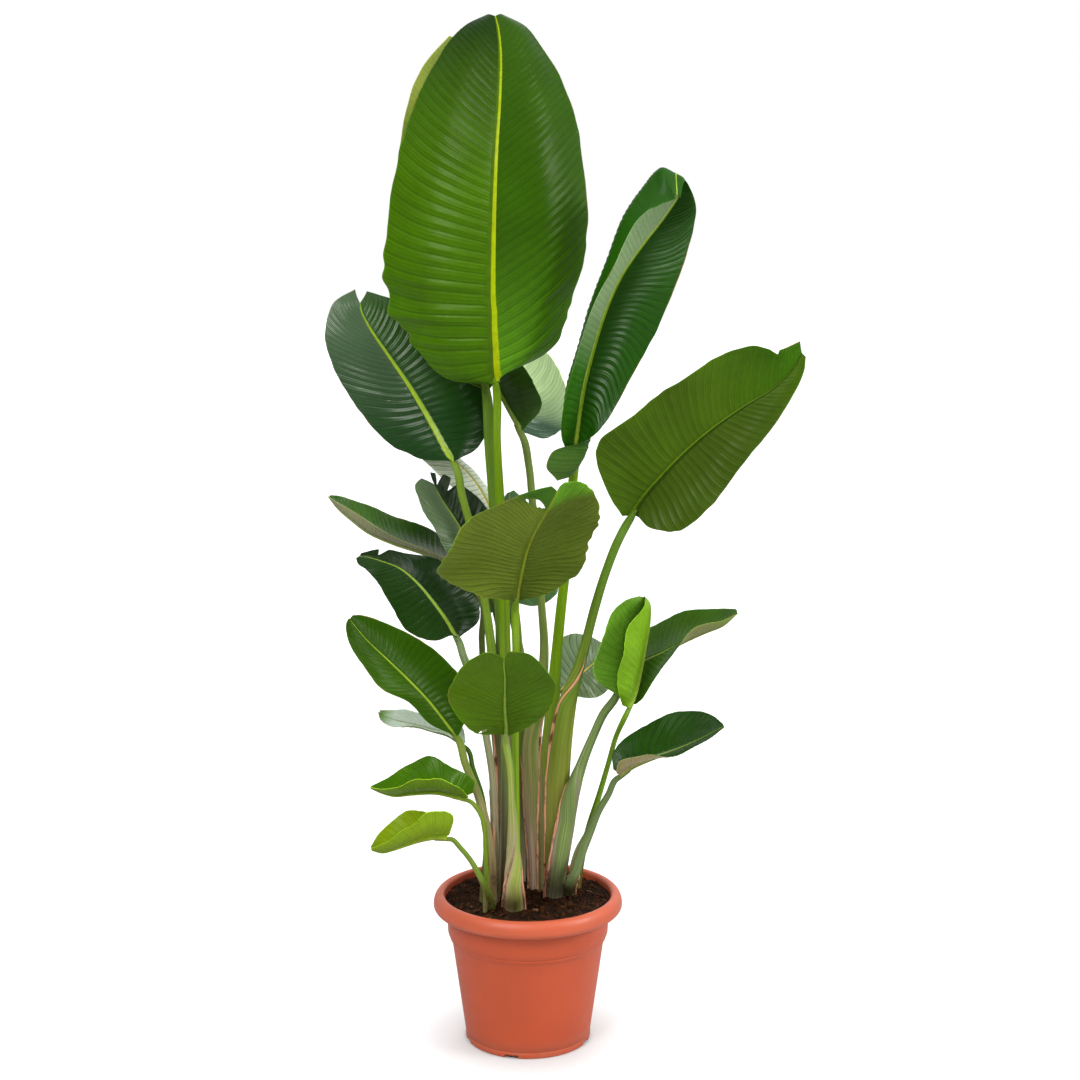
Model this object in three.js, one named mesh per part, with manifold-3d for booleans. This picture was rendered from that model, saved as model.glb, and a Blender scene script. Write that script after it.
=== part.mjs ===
// A giant bird of paradise in a terracotta-coloured nursery pot: pot, soil, and
// twenty-one leaves, each a blade on its own stalk.
// Millimetres, +Z up, the front of the plant faces -Y, origin under the middle of the pot.
import * as THREE from 'three';
import { mergeVertices } from 'three/addons/utils/BufferGeometryUtils.js';
import Module from 'manifold-3d';

const wasm = await Module();
wasm.setup();

// ---- the front view the leaves were measured in ----
// A grid of 1080 by 1080 steps, seen from an eye 3 m in front of the pot and 1.3 m up.
// Each leaf point is [steps across, steps down, millimetres behind the pot's axis].
const EYE = [18, -3000, 1300];
const TILT = THREE.MathUtils.degToRad(10.31);
const STEPS_TO_EYE = 2117;
const MID_STEP = 540;

// ---- pot ----
const RIM_R = 140;
const POT_H = 225;
const FOOT_R = 93;
const FLOOR = 5;
const POT_SIDES = 35;
const SLOT = { width: 20, height: 4.2, angles: [-163, -105, -22, 37, 95, 153] };
// [radius, height] round the wall, foot to rim outside and back down inside
const POT_WALL = [
  [FOOT_R - 1.5, 0], [FOOT_R, 1.5], [FOOT_R + 0.4, 7.6], [FOOT_R - 0.6, 8.6], [112.4, 151],
  [118.4, 163], [120.6, 197.5], [131, 198.4], [137, 201], [RIM_R, 206.5], [139, 214],
  [135, 220.6], [129.5, POT_H], [125.6, POT_H - 1], [123.6, POT_H - 6], [122.2, 207], [118.8, 196],
  [115.9, 160], [109.5, 150], [88.6, FLOOR],
];

// ---- soil ----
const SOIL_WALL = [[88, FLOOR + 0.5], [109, 150.3], [115.4, 160.3], [117.9, 195.5]];
const SOIL_RADIUS = 120.4;
const SOIL_EDGE = 205;
const SOIL_MOUND = 7;
const SOIL_RINGS = 6;
const SOIL_SIDES = 28;
const CRUMB = 1.7;
const CLEARANCE = 0.3;
const SOIL_LINE = 212;
const PLANTED = 56;

// ---- leaves ----
const BLADE_THICK = 1.3;
const RIB_HALF_WIDTH = [5.5, 2];
const RIB_DEPTH = [7, 1.5];
const PLEAT = 0.9;
const EDGE_WAVE = 2.2;
const STALK_SIDES = 8;
const STALK_RINGS = 11;
const TIDY = 0.1;
const NECK_GAP = 0.4;
const NECK_STRAIGHT = 9;

const STALK_GREEN = '#5d7a2c';
const SOIL_BROWN = '#2e2018';
const POT_COLOUR = '#c65a3a';

// Every leaf from its neck to its tip: matching stations along the rib and both edges (and, where
// a side is folded over, along the fold), as they lie left to right in the front view.
// stalk: [across, down, depth, width in steps] from the blade down; foot: where it enters the soil.
// swell: how far each half bulges to its upper face, as a share of its width in hundredths.
// underside: the side turned to the front is the under side.
// cuts: [0 left or 1 right, place along the blade, share of the width, half width along the blade].
const LEAVES = {
  tall_front: {
    green: '#4d8a14',
    rib: [[496, 384, -22], [494, 370, -30], [493, 350, -36], [492, 328, -41], [492, 314, -43],
      [491, 300, -44], [491, 285, -45], [492, 225, -44], [495, 155, -34], [499, 95, -8],
      [500, 55, 16], [498, 30, 36], [495, 16, 52]],
    left: [[490, 384, -20], [449, 380, 0], [417, 353, 8], [402, 328, 10], [386, 315, 8],
      [388, 299, 12], [382, 281, 8], [388, 215, 10], [402, 135, 16], [426, 78, 34],
      [448, 43, 48], [467, 24, 57], [488, 14, 62]],
    right: [[501, 370, -22], [533, 361, 2], [557, 343, 14], [570, 312, 20], [574, 297, 24],
      [579, 281, 22], [584, 262, 27], [588, 205, 28], [580, 135, 34], [564, 85, 50],
      [546, 53, 60], [527, 27, 65], [502, 14, 66]],
    stalk: [[496, 387, -22, 8], [497, 440, -20, 8], [500, 500, -14, 9], [503, 570, -8, 11],
      [505, 640, -2, 11], [507, 720, 0, 13], [507, 800, -4, 13]],
    foot: [505.5, 897, 13],
    rows: 22, cols: 4, swell: [9, 12],
  },
  tall_back: {
    green: '#8fa04a',
    rib: [[486, 390, 52], [483, 368, 60], [480, 330, 72], [476, 270, 88], [470, 190, 104],
      [463, 110, 118], [459, 68, 124], [456, 38, 129]],
    left: [[482, 389, 54], [448, 372, 84], [418, 325, 100], [398, 265, 110], [395, 190, 118],
      [407, 105, 128], [424, 64, 132], [449, 36, 134]],
    right: [[490, 389, 54], [515, 352, 79], [540, 300, 100], [550, 240, 110], [548, 165, 118],
      [525, 90, 128], [496, 58, 132], [463, 38, 134]],
    stalk: [[486.5, 393, 52, 10], [489, 440, 50, 10], [493.5, 500, 48, 10], [498, 570, 46, 10],
      [500.5, 640, 46, 10], [500, 720, 46, 11], [501, 800, 42, 12]],
    foot: [501, 889, 15],
    rows: 14, cols: 2, swell: [6, 6], underside: true,
  },
  left_high: {
    green: '#1f4638',
    rib: [[453, 462, 58], [443, 444, 76], [427, 415, 92], [408, 384, 102], [388, 355, 108],
      [371, 330, 112], [362, 313, 116], [360, 303, 120]],
    left: [[449, 461, 62], [420, 459, 88], [385, 441, 104], [350, 398, 110], [330, 360, 112],
      [325, 330, 114], [334, 302, 120], [355, 289, 130]],
    right: [[457, 460, 62], [480, 446, 96], [490, 412, 120], [482, 372, 134], [455, 338, 138],
      [420, 309, 138], [390, 298, 136], [367, 291, 134]],
    stalk: [[453, 465, 56, 8], [462, 495, 50, 8], [470, 525, 46, 8], [477, 560, 44, 9],
      [484.5, 600, 42, 8.5], [491, 645, 36, 9.5], [494.5, 720, 30, 9], [498.8, 780, 24, 8],
      [499.5, 830, 20, 8]],
    foot: [498, 893, 9],
    rows: 16, cols: 3, swell: [5, 8], cuts: [[0, 0.2, 0.05, 0.03]],
  },
  right_high: {
    green: '#2a5f1c',
    rib: [[574, 455, 4], [575, 447, 4], [576, 440, 3], [578, 427, 2], [584, 388, 0],
      [594, 348, 0], [606, 311, 0], [622, 276, 0], [645, 243, -4], [666, 216, -8],
      [679, 194, -16], [676, 174, -34], [677, 195, -60]],
    left: [[566, 451, -8], [564, 445, -16], [562, 440, -22], [561, 430, -34], [566, 398, -52],
      [580, 342, -60], [600, 296, -62], [614, 262, -64], [636, 226, -66], [649, 210, -68],
      [660, 205, -68], [669, 202, -66], [675, 199, -62]],
    right: [[557, 481, -34], [546, 467, -42], [552, 452, -42], [583, 442, -34],
      [608, 419, -24], [634, 374, -18], [660, 324, -16], [680, 276, -16], [694, 228, -18],
      [696, 206, -20], [692, 192, -26], [685, 181, -42], [680, 198, -61]],
    leftFold: [[569, 453, -4], [569, 445, -7], [568, 438, -10], [567, 424, -14],
      [568, 384, -24], [579, 342, -30], [592, 302, -34], [606, 262, -36], [625, 214, -34],
      [644, 185, -32], [655, 172, -36], [665, 169, -46], [675, 196, -61]],
    rightFold: [[573, 474, -20], [579, 466, -22], [585, 455, -22], [590, 439, -20],
      [600, 396, -12], [620, 352, -12], [638, 312, -12], [656, 276, -12], [674, 240, -14],
      [685, 212, -16], [688, 194, -22], [682, 177, -38], [679, 196, -60]],
    stalk: [[574, 462, 10, 9], [571, 500, 16, 9], [567, 560, 20, 9], [562, 600, 24, 10],
      [557, 650, 28, 11], [553, 700, 30, 14], [549, 760, 30, 18], [547, 820, 28, 21]],
    foot: [547, 890, 22],
    rows: 20, cols: 2,
  },
  right_wide: {
    green: '#5c6a24',
    rib: [[631, 516, -52], [643, 498, -62], [661, 477, -74], [685, 452, -88], [713, 428, -100],
      [745, 406, -110], [774, 388, -116], [793, 369, -120], [802, 353, -122]],
    left: [[622, 516, -54], [607, 492, -66], [596, 446, -84], [637, 412, -104],
      [676, 382, -118], [720, 356, -126], [753, 345, -130], [778, 350, -130], [800, 341, -126]],
    right: [[637, 515, -54], [650, 528, -74], [680, 531, -98], [710, 508, -114],
      [741, 467, -124], [772, 429, -130], [793, 396, -132], [804, 372, -130], [806, 357, -126]],
    stalk: [[630, 519, -54, 9], [618.5, 540, -54, 9], [606.5, 570, -50, 9],
      [595.5, 605, -44, 9.5], [585, 645, -38, 10], [577, 673, -33, 12.5],
      [568.8, 698, -30, 18.5], [561, 739, -27, 24], [557.5, 775, -26, 26], [555, 830, -26, 24]],
    foot: [553, 896, 20],
    rows: 16, cols: 3, swell: [8, 8], underside: true, cuts: [[0, 0.9, 0.2, 0.02]],
  },
  centre_front: {
    green: '#66702c',
    rib: [[516, 601, -96], [518, 586, -124], [522, 567, -160], [527, 548, -198],
      [535, 530, -238], [545, 513, -274], [552, 501, -296], [557, 491, -306]],
    left: [[509, 600, -100], [480, 596, -128], [438, 577, -150], [450, 545, -212],
      [472, 519, -252], [504, 500, -282], [534, 490, -296], [551, 486, -304]],
    right: [[522, 600, -100], [549, 594, -130], [580, 572, -166], [591, 543, -210],
      [600, 518, -246], [597, 496, -270], [582, 482, -286], [565, 482, -300]],
    stalk: [[516, 606, -96, 8], [515.8, 650, -98, 7.5], [515.5, 700, -98, 7],
      [515.3, 740, -98, 7], [515.8, 790, -96, 7], [516, 850, -86, 9]],
    foot: [517, 897, 11],
    rows: 16, cols: 3, swell: [8, 8], underside: true,
  },
  low_round: {
    green: '#4f7a1c',
    rib: [[506, 735, -134], [506, 724, -156], [505, 708, -184], [505, 692, -210],
      [505, 677, -232], [504, 666, -246], [504, 659, -254]],
    left: [[501, 734, -136], [475, 733, -166], [448, 702, -206], [452, 680, -232],
      [468, 662, -248], [487, 652, -258], [498, 655, -258]],
    right: [[511, 735, -136], [534, 724, -166], [552, 704, -206], [556, 686, -232],
      [546, 668, -248], [529, 654, -258], [510, 651, -258]],
    stalk: [[507.5, 738, -134, 8], [509.7, 765, -128, 7], [511.5, 800, -121, 7.5],
      [512.8, 822, -117, 10.5], [513.2, 850, -112, 14], [513.5, 880, -107, 20]],
    foot: [513.5, 909, 26],
    rows: 12, cols: 3, swell: [8, 8], underside: true,
  },
  back_folded: {
    green: '#2c5a2a',
    rib: [[523, 431, 66], [514, 416, 86], [503, 396, 96], [492, 372, 104], [483, 345, 110],
      [478, 322, 116]],
    left: [[526, 427, 62], [540, 411, 66], [541, 396, 66], [527, 372, 74], [505, 345, 88],
      [482, 322, 110]],
    right: [[527, 433, 74], [548, 438, 112], [566, 424, 136], [566, 384, 146], [540, 345, 146],
      [490, 318, 124]],
    stalk: [[524, 435, 66, 8], [529, 465, 66, 8], [533, 505, 66, 8], [539, 550, 66, 8],
      [541.5, 600, 64, 8], [544.5, 650, 62, 9.5], [541, 695, 60, 13], [532, 740, 58, 19],
      [533, 780, 56, 21.5], [534.5, 820, 54, 20.5], [536.5, 860, 51, 18.5]],
    foot: [536, 888, 17],
    rows: 10, cols: 2, swell: [-6, -8],
  },
  left_narrow: {
    green: '#3c6a30',
    rib: [[478, 591, 74], [455, 567, 72], [425, 552.5, 62], [395, 543, 50], [369, 532, 38],
      [351, 519, 30], [338, 508, 26], [329, 497, 20]],
    left: [[478, 588, 71], [458, 564, 66], [428, 550, 52], [399, 538.5, 36], [375, 526, 18],
      [356, 512, 16], [339, 503, 16], [328, 496, 17]],
    right: [[481, 588, 80], [463, 548, 118], [433, 531, 114], [402, 518, 102], [376, 508, 82],
      [356, 501, 62], [341, 496, 40], [331, 495, 24]],
    stalk: [[478, 594, 74, 7], [482, 640, 78, 7], [485.3, 715, 78, 6.5], [487.5, 745, 77, 6],
      [492.3, 780, 76, 6], [494, 810, 75, 7]],
    foot: [495, 886, 9],
    rows: 14, cols: 2, swell: [-10, -6],
  },
  left_shredded: {
    green: '#1c3a20',
    rib: [[487, 582, 66], [478, 560, 68], [466, 538, 70], [455, 519, 74], [445, 504, 78],
      [438, 492, 80], [434, 484, 84]],
    left: [[483, 581, 63], [462, 572, 56], [447, 552, 40], [431, 523, 38], [418, 500, 46],
      [415, 485, 58], [421, 478, 74]],
    right: [[491, 580, 69], [497, 548, 80], [492, 518, 82], [478, 497, 86], [462, 485, 90],
      [446, 475, 90], [430, 472, 88]],
    stalk: [[488, 585, 66, 7], [497, 615, 74, 8], [502, 650, 80, 8], [503, 700, 82, 9],
      [504, 780, 80, 11]],
    foot: [506, 880, 12],
    rows: 14, cols: 3, swell: [4, 6], cuts: [[1, 0.93, 0.8, 0.03], [1, 0.8, 0.6, 0.035]],
  },
  left_back: {
    green: '#6f8a80',
    rib: [[496, 520, 88], [484, 495, 108], [470, 475, 124], [452, 458, 138], [434, 446, 148],
      [420, 438, 156]],
    left: [[493, 521, 88], [476, 504, 96], [451, 487, 108], [430, 467, 124], [414, 448, 140],
      [418, 440, 154]],
    right: [[500, 518, 92], [493, 496, 116], [480, 477, 138], [461, 458, 152], [443, 443, 158],
      [422, 436, 160]],
    stalk: [[497, 523, 88, 7], [508, 570, 88, 8], [516, 620, 88, 9], [519, 690, 86, 10],
      [520, 760, 80, 13]],
    foot: [519, 882, 15],
    rows: 8, cols: 2, swell: [4, 4],
  },
  left_middle: {
    green: '#1c4426',
    rib: [[457, 638, -6], [447, 620, -14], [434, 602, -20], [418, 583, -24], [400, 568, -26],
      [382, 561, -26], [368, 557, -24], [359, 556, -22]],
    left: [[452, 635, -7], [433, 641, -24], [408, 632, -32], [391, 606, -34], [377, 582, -36],
      [366, 570, -42], [358, 564, -34], [356, 558, -26]],
    right: [[461, 636, -2], [479, 621, 22], [478, 600, 34], [460, 576, 40], [430, 557, 38],
      [398, 551, 28], [378, 549, 12], [361, 553, -10]],
    stalk: [[457, 641, -6, 8], [463, 655, -8, 8], [471, 675, -12, 9], [480, 705, -18, 8.5],
      [487.3, 742, -26, 7.5], [492.5, 778, -30, 7], [494, 810, -31, 8]],
    foot: [495, 901, 10],
    rows: 14, cols: 3, swell: [-6, -8], cuts: [[1, 0.86, 0.45, 0.03]],
  },
  left_bright: {
    green: '#4a8418',
    rib: [[456, 736, -54], [444, 720, -64], [428, 700, -72], [408, 679, -80], [386, 658, -86],
      [367, 640, -90], [355, 626, -92], [350, 619, -92]],
    left: [[451, 734, -58], [430, 724, -86], [409, 703, -102], [381, 688, -112],
      [359, 661, -114], [348, 638, -110], [346, 624, -102], [349, 618, -94]],
    right: [[459, 735, -53], [466, 718, -46], [468, 692, -46], [448, 661, -52],
      [417, 638, -60], [384, 622, -70], [362, 615, -80], [353, 615, -86]],
    stalk: [[456, 739, -54, 8], [465, 763, -50, 8], [475, 787, -46, 8], [483, 812, -47, 9],
      [489, 845, -52, 10]],
    foot: [492, 906, 10],
    rows: 14, cols: 3, swell: [-5, -8],
  },
  left_small: {
    green: '#5c8a60',
    rib: [[464, 744, -28], [450, 734, -30], [432, 729, -34], [413, 724, -38], [396, 720, -42],
      [385, 716, -44], [380, 712, -46]],
    left: [[462, 744, -30], [446, 734, -46], [428, 729, -56], [408, 726, -66], [391, 727, -70],
      [381, 720, -64], [378, 712, -50]],
    right: [[466, 742, -24], [462, 727, -2], [442, 716, 6], [418, 711, 2], [398, 709, -6],
      [387, 710, -20], [380, 710, -40]],
    stalk: [[464, 747, -28, 5], [473, 768, -32, 5], [482, 795, -40, 5], [486, 825, -44, 6]],
    foot: [483, 903, 8],
    rows: 8, cols: 2, swell: [-8, -6],
  },
  left_creased: {
    green: '#3f7a1e',
    rib: [[464, 797, -74], [451, 794, -76], [434, 791.5, -78], [412, 793, -80],
      [394, 795, -82], [381, 792, -84], [371, 788, -86]],
    left: [[469, 797, -80], [459, 787, -100], [441, 780, -110], [419, 779, -112],
      [398, 786, -106], [383, 789, -96], [370, 787, -89]],
    right: [[473, 793, -70], [474, 780, -68], [453, 767, -56], [428, 756, -38],
      [403, 768, -40], [385, 779, -62], [371, 786, -82]],
    stalk: [[467, 799, -74, 5], [476, 807, -78, 5], [483, 820, -82, 5], [486, 850, -82, 6]],
    foot: [486, 912, 7],
    rows: 10, cols: 2, swell: [-8, -6],
  },
  left_lowest: {
    green: '#74a012',
    rib: [[446, 836, -116], [434, 836, -120], [420, 839, -124], [406, 844, -128],
      [393, 849, -132], [382, 852, -134], [372, 850, -136]],
    left: [[450, 833, -120], [453, 816, -146], [436, 810, -158], [418, 819, -162],
      [400, 832, -160], [384, 843, -152], [371, 848, -140]],
    right: [[447, 832, -112], [444, 820, -92], [430, 812, -82], [410, 811, -84],
      [393, 820, -94], [379, 833, -112], [371, 846, -132]],
    stalk: [[450, 839, -114, 6], [460, 847, -110, 6], [470, 859, -105, 6], [480, 876, -100, 7]],
    foot: [491, 909, 9],
    rows: 10, cols: 2, swell: [-10, -8],
  },
  right_folded: {
    green: '#3f8016',
    rib: [[627, 707, -22], [634, 692, -14], [640, 668, -8], [645, 643, -6], [649, 619, -8],
      [649, 604, -14], [644, 597, -20]],
    left: [[616, 694, -26], [599, 683, -44], [593, 670, -48], [600, 643, -48], [612, 614, -44],
      [626, 600, -36], [639, 596, -24]],
    right: [[622, 705, -28], [618, 690, -52], [620, 664, -64], [624, 640, -66],
      [634, 619, -60], [644, 606, -44], [645, 598, -24]],
    stalk: [[625.5, 710, -22, 6], [616.5, 735, -10, 5.5], [607.8, 765, 0, 5.5],
      [599, 795, 2, 6], [589.5, 825, 2, 7]],
    foot: [577, 888, 8],
    rows: 12, cols: 3, swell: [6, -14],
  },
  right_middle: {
    green: '#2f6418',
    rib: [[617, 693, 12], [627, 676, 16], [641, 662, 14], [662, 652, 6], [684, 641, -2],
      [705, 632, -10], [723, 625, -16], [737, 613, -20]],
    left: [[613, 689, 16], [618, 662, 50], [632, 640, 66], [650, 627, 68], [674, 614, 60],
      [698, 610, 44], [720, 608, 22], [736, 609, -8]],
    right: [[621, 698, 8], [636, 704, -10], [652, 684, -22], [669, 660, -30], [688, 632, -42],
      [706, 624, -42], [723, 620, -38], [738, 613, -26]],
    stalk: [[617, 697, 10, 9], [604, 713, 4, 9], [593.5, 735, -10, 9], [582, 763, -28, 11],
      [571.5, 795, -44, 17], [565, 825, -50, 20.5], [559.5, 855, -51, 21.5]],
    foot: [553.5, 897, 22],
    rows: 12, cols: 2, swell: [-6, -6],
  },
  right_low: {
    green: '#245016',
    rib: [[619, 774, -42], [633, 765, -44], [650, 758, -46], [668, 752, -48], [688, 744, -52],
      [707, 735, -56], [724, 726, -60]],
    left: [[613, 769, -38], [613, 752, -22], [635, 730, -4], [665, 716, 4], [693, 710, -4],
      [712, 715, -24], [722, 723, -54]],
    right: [[616, 772, -50], [620, 761, -74], [644, 755, -84], [668, 757, -84],
      [690, 749, -80], [709, 739, -74], [723, 728, -64]],
    stalk: [[619, 777, -42, 7], [608.5, 794, -44, 7], [597.8, 812, -47, 8],
      [589.8, 831, -50, 9.5], [580.7, 851, -53, 12.5], [574, 873, -54, 12.5]],
    foot: [570, 895, 11],
    rows: 12, cols: 2, swell: [-6, -10],
  },
  back_right: {
    green: '#6a8480',
    rib: [[560, 690, 64], [574, 680, 92], [588, 668, 120], [600, 658, 142], [610, 650, 158]],
    left: [[557, 688, 66], [556, 660, 104], [563, 637, 136], [584, 634, 154], [603, 643, 160]],
    right: [[563, 692, 64], [578, 697, 82], [599, 697, 104], [612, 684, 130], [615, 662, 154]],
    stalk: [[559, 695, 66, 7], [554, 730, 68, 8], [551, 780, 68, 11]],
    foot: [551, 883, 14],
    rows: 8, cols: 2, swell: [6, 6],
  },
  back_centre: {
    green: '#3a5a4c',
    rib: [[512, 602, 104], [512, 588, 118], [511, 565, 136], [510, 535, 158], [510, 510, 176],
      [510, 492, 188]],
    left: [[508, 603, 104], [488, 613, 106], [475, 590, 122], [480, 545, 154], [495, 510, 178],
      [507, 493, 190]],
    right: [[516, 603, 104], [536, 606, 106], [557, 594, 122], [556, 550, 154],
      [535, 510, 178], [514, 490, 190]],
    stalk: [[512, 606, 106, 7], [520, 650, 106, 8], [528, 710, 104, 9], [533, 780, 94, 12]],
    foot: [533, 878, 15],
    rows: 8, cols: 2, swell: [6, 6],
  },
};

// ---- reading points off the front view ----

/** The point seen at (across, down) in the front view, at a given depth behind the axis. */
function seen(across, down, depth) {
  const right = (across - MID_STEP) / STEPS_TO_EYE;
  const up = (MID_STEP - down) / STEPS_TO_EYE;
  const forward = Math.cos(TILT) + up * Math.sin(TILT);
  const rise = up * Math.cos(TILT) - Math.sin(TILT);
  const far = (depth - EYE[1]) / forward;
  return new THREE.Vector3(EYE[0] + right * far, depth, EYE[2] + rise * far);
}

/** The point on the soil line seen at (across, down) in the front view. */
function seenOnSoil(across, down) {
  const up = (MID_STEP - down) / STEPS_TO_EYE;
  const forward = Math.cos(TILT) + up * Math.sin(TILT);
  const rise = up * Math.cos(TILT) - Math.sin(TILT);
  const far = (SOIL_LINE - EYE[2]) / rise;
  return seen(across, down, EYE[1] + forward * far);
}

const size = (depth) => (depth - EYE[1]) / STEPS_TO_EYE;

// ---- curves ----

function slope(points, knots, i) {
  const last = points.length - 1;
  const step = (a, b) => points[b].clone().sub(points[a]).divideScalar(knots[b] - knots[a]);
  if (i === 0) return step(0, 1);
  if (i === last) return step(last - 1, last);
  const share = (knots[i + 1] - knots[i]) / (knots[i + 1] - knots[i - 1]);
  return step(i - 1, i).multiplyScalar(share).addScaledVector(step(i, i + 1), 1 - share);
}

/** A smooth curve through the points, read at t between the first and last knot. */
function curveAt(points, knots, t) {
  let i = 0;
  while (i < points.length - 2 && t > knots[i + 1]) i += 1;
  const h = knots[i + 1] - knots[i];
  const w = (t - knots[i]) / h;
  const out = points[i].clone().multiplyScalar(2 * w ** 3 - 3 * w * w + 1);
  out.addScaledVector(slope(points, knots, i), (w ** 3 - 2 * w * w + w) * h);
  out.addScaledVector(points[i + 1], 3 * w * w - 2 * w ** 3);
  out.addScaledVector(slope(points, knots, i + 1), (w ** 3 - w * w) * h);
  return out;
}

/** Knots from 0 to 1, spaced by how far apart the stations of all the lines are. */
function knotsFor(lines, power) {
  const knots = [0];
  for (let i = 1; i < lines[0].length; i += 1) {
    let span = 0;
    for (const line of lines) span += line[i].distanceTo(line[i - 1]);
    knots.push(knots[i - 1] + Math.max(1e-6, span) ** power);
  }
  return knots.map((k) => k / knots[knots.length - 1]);
}

function seeded(seed) {
  let state = seed * 7919 + 17;
  return () => {
    state = (state * 48271) % 2147483647;
    return state / 2147483647;
  };
}

// ---- solids from rings of points ----

function meshFrom(points, faces) {
  const flat = new Float32Array(points.length * 3);
  points.forEach((p, i) => p.toArray(flat, i * 3));
  return new wasm.Mesh({ numProp: 3, vertProperties: flat, triVerts: new Uint32Array(faces) });
}

function solidFrom(points, faces) {
  let volume = 0;
  for (let i = 0; i < faces.length; i += 3) {
    const [a, b, c] = [points[faces[i]], points[faces[i + 1]], points[faces[i + 2]]];
    volume += a.dot(b.clone().cross(c));
  }
  if (volume < 0) {
    for (let i = 0; i < faces.length; i += 3) [faces[i], faces[i + 1]] = [faces[i + 1], faces[i]];
  }
  return new wasm.Manifold(meshFrom(points, faces));
}

/** A solid through closed rings of equal length, with flat fans over both ends. */
function solidThroughRings(rings) {
  const points = rings.flat();
  const faces = [];
  const n = rings[0].length;
  for (let i = 0; i + 1 < rings.length; i += 1) {
    for (let j = 0; j < n; j += 1) {
      const k = (j + 1) % n;
      faces.push(i * n + j, i * n + k, (i + 1) * n + k);
      faces.push(i * n + j, (i + 1) * n + k, (i + 1) * n + j);
    }
  }
  for (const [ring, end] of [[rings[0], 0], [rings[rings.length - 1], rings.length - 1]]) {
    const middle = new THREE.Vector3();
    ring.forEach((p) => middle.addScaledVector(p, 1 / n));
    points.push(middle);
    for (let j = 0; j < n; j += 1) {
      const edge = [end * n + j, end * n + ((j + 1) % n)];
      if (end === 0) edge.reverse();
      faces.push(edge[0], edge[1], points.length - 1);
    }
  }
  return solidFrom(points, faces);
}

/** A solid of two matching grids, upper and lower, joined round the edge. */
function solidBetween(upper, lower) {
  const rows = upper.length;
  const cols = upper[0].length;
  const points = upper.flat().concat(lower.flat());
  const under = rows * cols;
  const faces = [];
  for (let i = 0; i + 1 < rows; i += 1) {
    for (let j = 0; j + 1 < cols; j += 1) {
      const [a, b, c, d] = [i * cols + j, i * cols + j + 1, (i + 1) * cols + j + 1, (i + 1) * cols + j];
      faces.push(a, b, c, a, c, d);
      faces.push(under + a, under + c, under + b, under + a, under + d, under + c);
    }
  }
  const edge = [];
  for (let j = 0; j < cols - 1; j += 1) edge.push(j);
  for (let i = 0; i < rows - 1; i += 1) edge.push(i * cols + cols - 1);
  for (let j = cols - 1; j > 0; j -= 1) edge.push((rows - 1) * cols + j);
  for (let i = rows - 1; i > 0; i -= 1) edge.push(i * cols);
  edge.forEach((a, i) => {
    const b = edge[(i + 1) % edge.length];
    faces.push(b, a, under + a, b, under + a, under + b);
  });
  return solidFrom(points, faces);
}

/** A solid turned round the Z axis from a closed outline of [radius, height]. */
function turned(outline, sides) {
  const points = [];
  const faces = [];
  for (let j = 0; j < sides; j += 1) {
    const angle = (j / sides) * Math.PI * 2;
    for (const [r, z] of outline) {
      points.push(new THREE.Vector3(r * Math.cos(angle), r * Math.sin(angle), z));
    }
  }
  const n = outline.length;
  const foot = points.push(new THREE.Vector3(0, 0, outline[0][1])) - 1;
  const top = points.push(new THREE.Vector3(0, 0, outline[n - 1][1])) - 1;
  for (let j = 0; j < sides; j += 1) {
    const here = j * n;
    const next = ((j + 1) % sides) * n;
    for (let i = 0; i + 1 < n; i += 1) {
      faces.push(here + i, next + i, next + i + 1, here + i, next + i + 1, here + i + 1);
    }
    faces.push(next, here, foot, here + n - 1, next + n - 1, top);
  }
  return solidFrom(points, faces);
}

function boxSolid(sizes, place) {
  const box = new THREE.BoxGeometry(...sizes);
  box.deleteAttribute('normal');
  box.deleteAttribute('uv');
  const welded = mergeVertices(box.applyMatrix4(place));
  const points = [];
  const corner = welded.getAttribute('position');
  for (let i = 0; i < corner.count; i += 1) points.push(new THREE.Vector3().fromBufferAttribute(corner, i));
  return solidFrom(points, Array.from(welded.index.array));
}

// ---- blades ----

const mix = ([a, b], t) => a + (b - a) * t;

/** The blade's own lines from one edge to the other, in millimetres. */
function bladeLines(leaf) {
  const order = [leaf.left, leaf.leftFold, leaf.rib, leaf.rightFold, leaf.right];
  return order.filter(Boolean).map((line) => line.map((p) => seen(...p)));
}

/** Where each row of the blade runs: its points from edge to rib to edge, and how it faces. */
function bladeRow(lines, knots, leaf, t) {
  const mid = (lines.length - 1) / 2;
  const across = lines.map((line) => curveAt(line, knots, t));
  const ahead = curveAt(lines[mid], knots, Math.min(1, t + 1e-3));
  const along = ahead.sub(curveAt(lines[mid], knots, Math.max(0, t - 1e-3))).normalize();
  const facing = (from, to) => {
    const face = to.clone().sub(from).normalize().cross(along).normalize();
    return face.multiplyScalar(leaf.underside ? -1 : 1);
  };
  const [first, rib, last] = [across[0], across[mid], across[across.length - 1]];
  const sides = [facing(first, rib), facing(rib, last)];
  const halves = [across.slice(0, mid + 1).reverse(), across.slice(mid)];
  halves.forEach((half, side) => {
    if (half.length > 2) return;
    const lift = (half[1].distanceTo(half[0]) * leaf.swell[side]) / 100;
    half.splice(1, 0, half[0].clone().lerp(half[1], 0.5).addScaledVector(sides[side], lift));
  });
  return { halves, sides, rib, face: facing(first, last) };
}

/** The way each point of a grid of rows faces, read from its neighbours. */
function gridFaces(rows, turn) {
  const clamp = (list, i) => list[Math.min(list.length - 1, Math.max(0, i))];
  return rows.map((row, i) => row.map((_, j) => {
    const across = clamp(row, j + 1).clone().sub(clamp(row, j - 1));
    const along = clamp(rows, i + 1)[j].clone().sub(clamp(rows, i - 1)[j]);
    return across.cross(along).normalize().multiplyScalar(turn);
  }));
}

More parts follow.
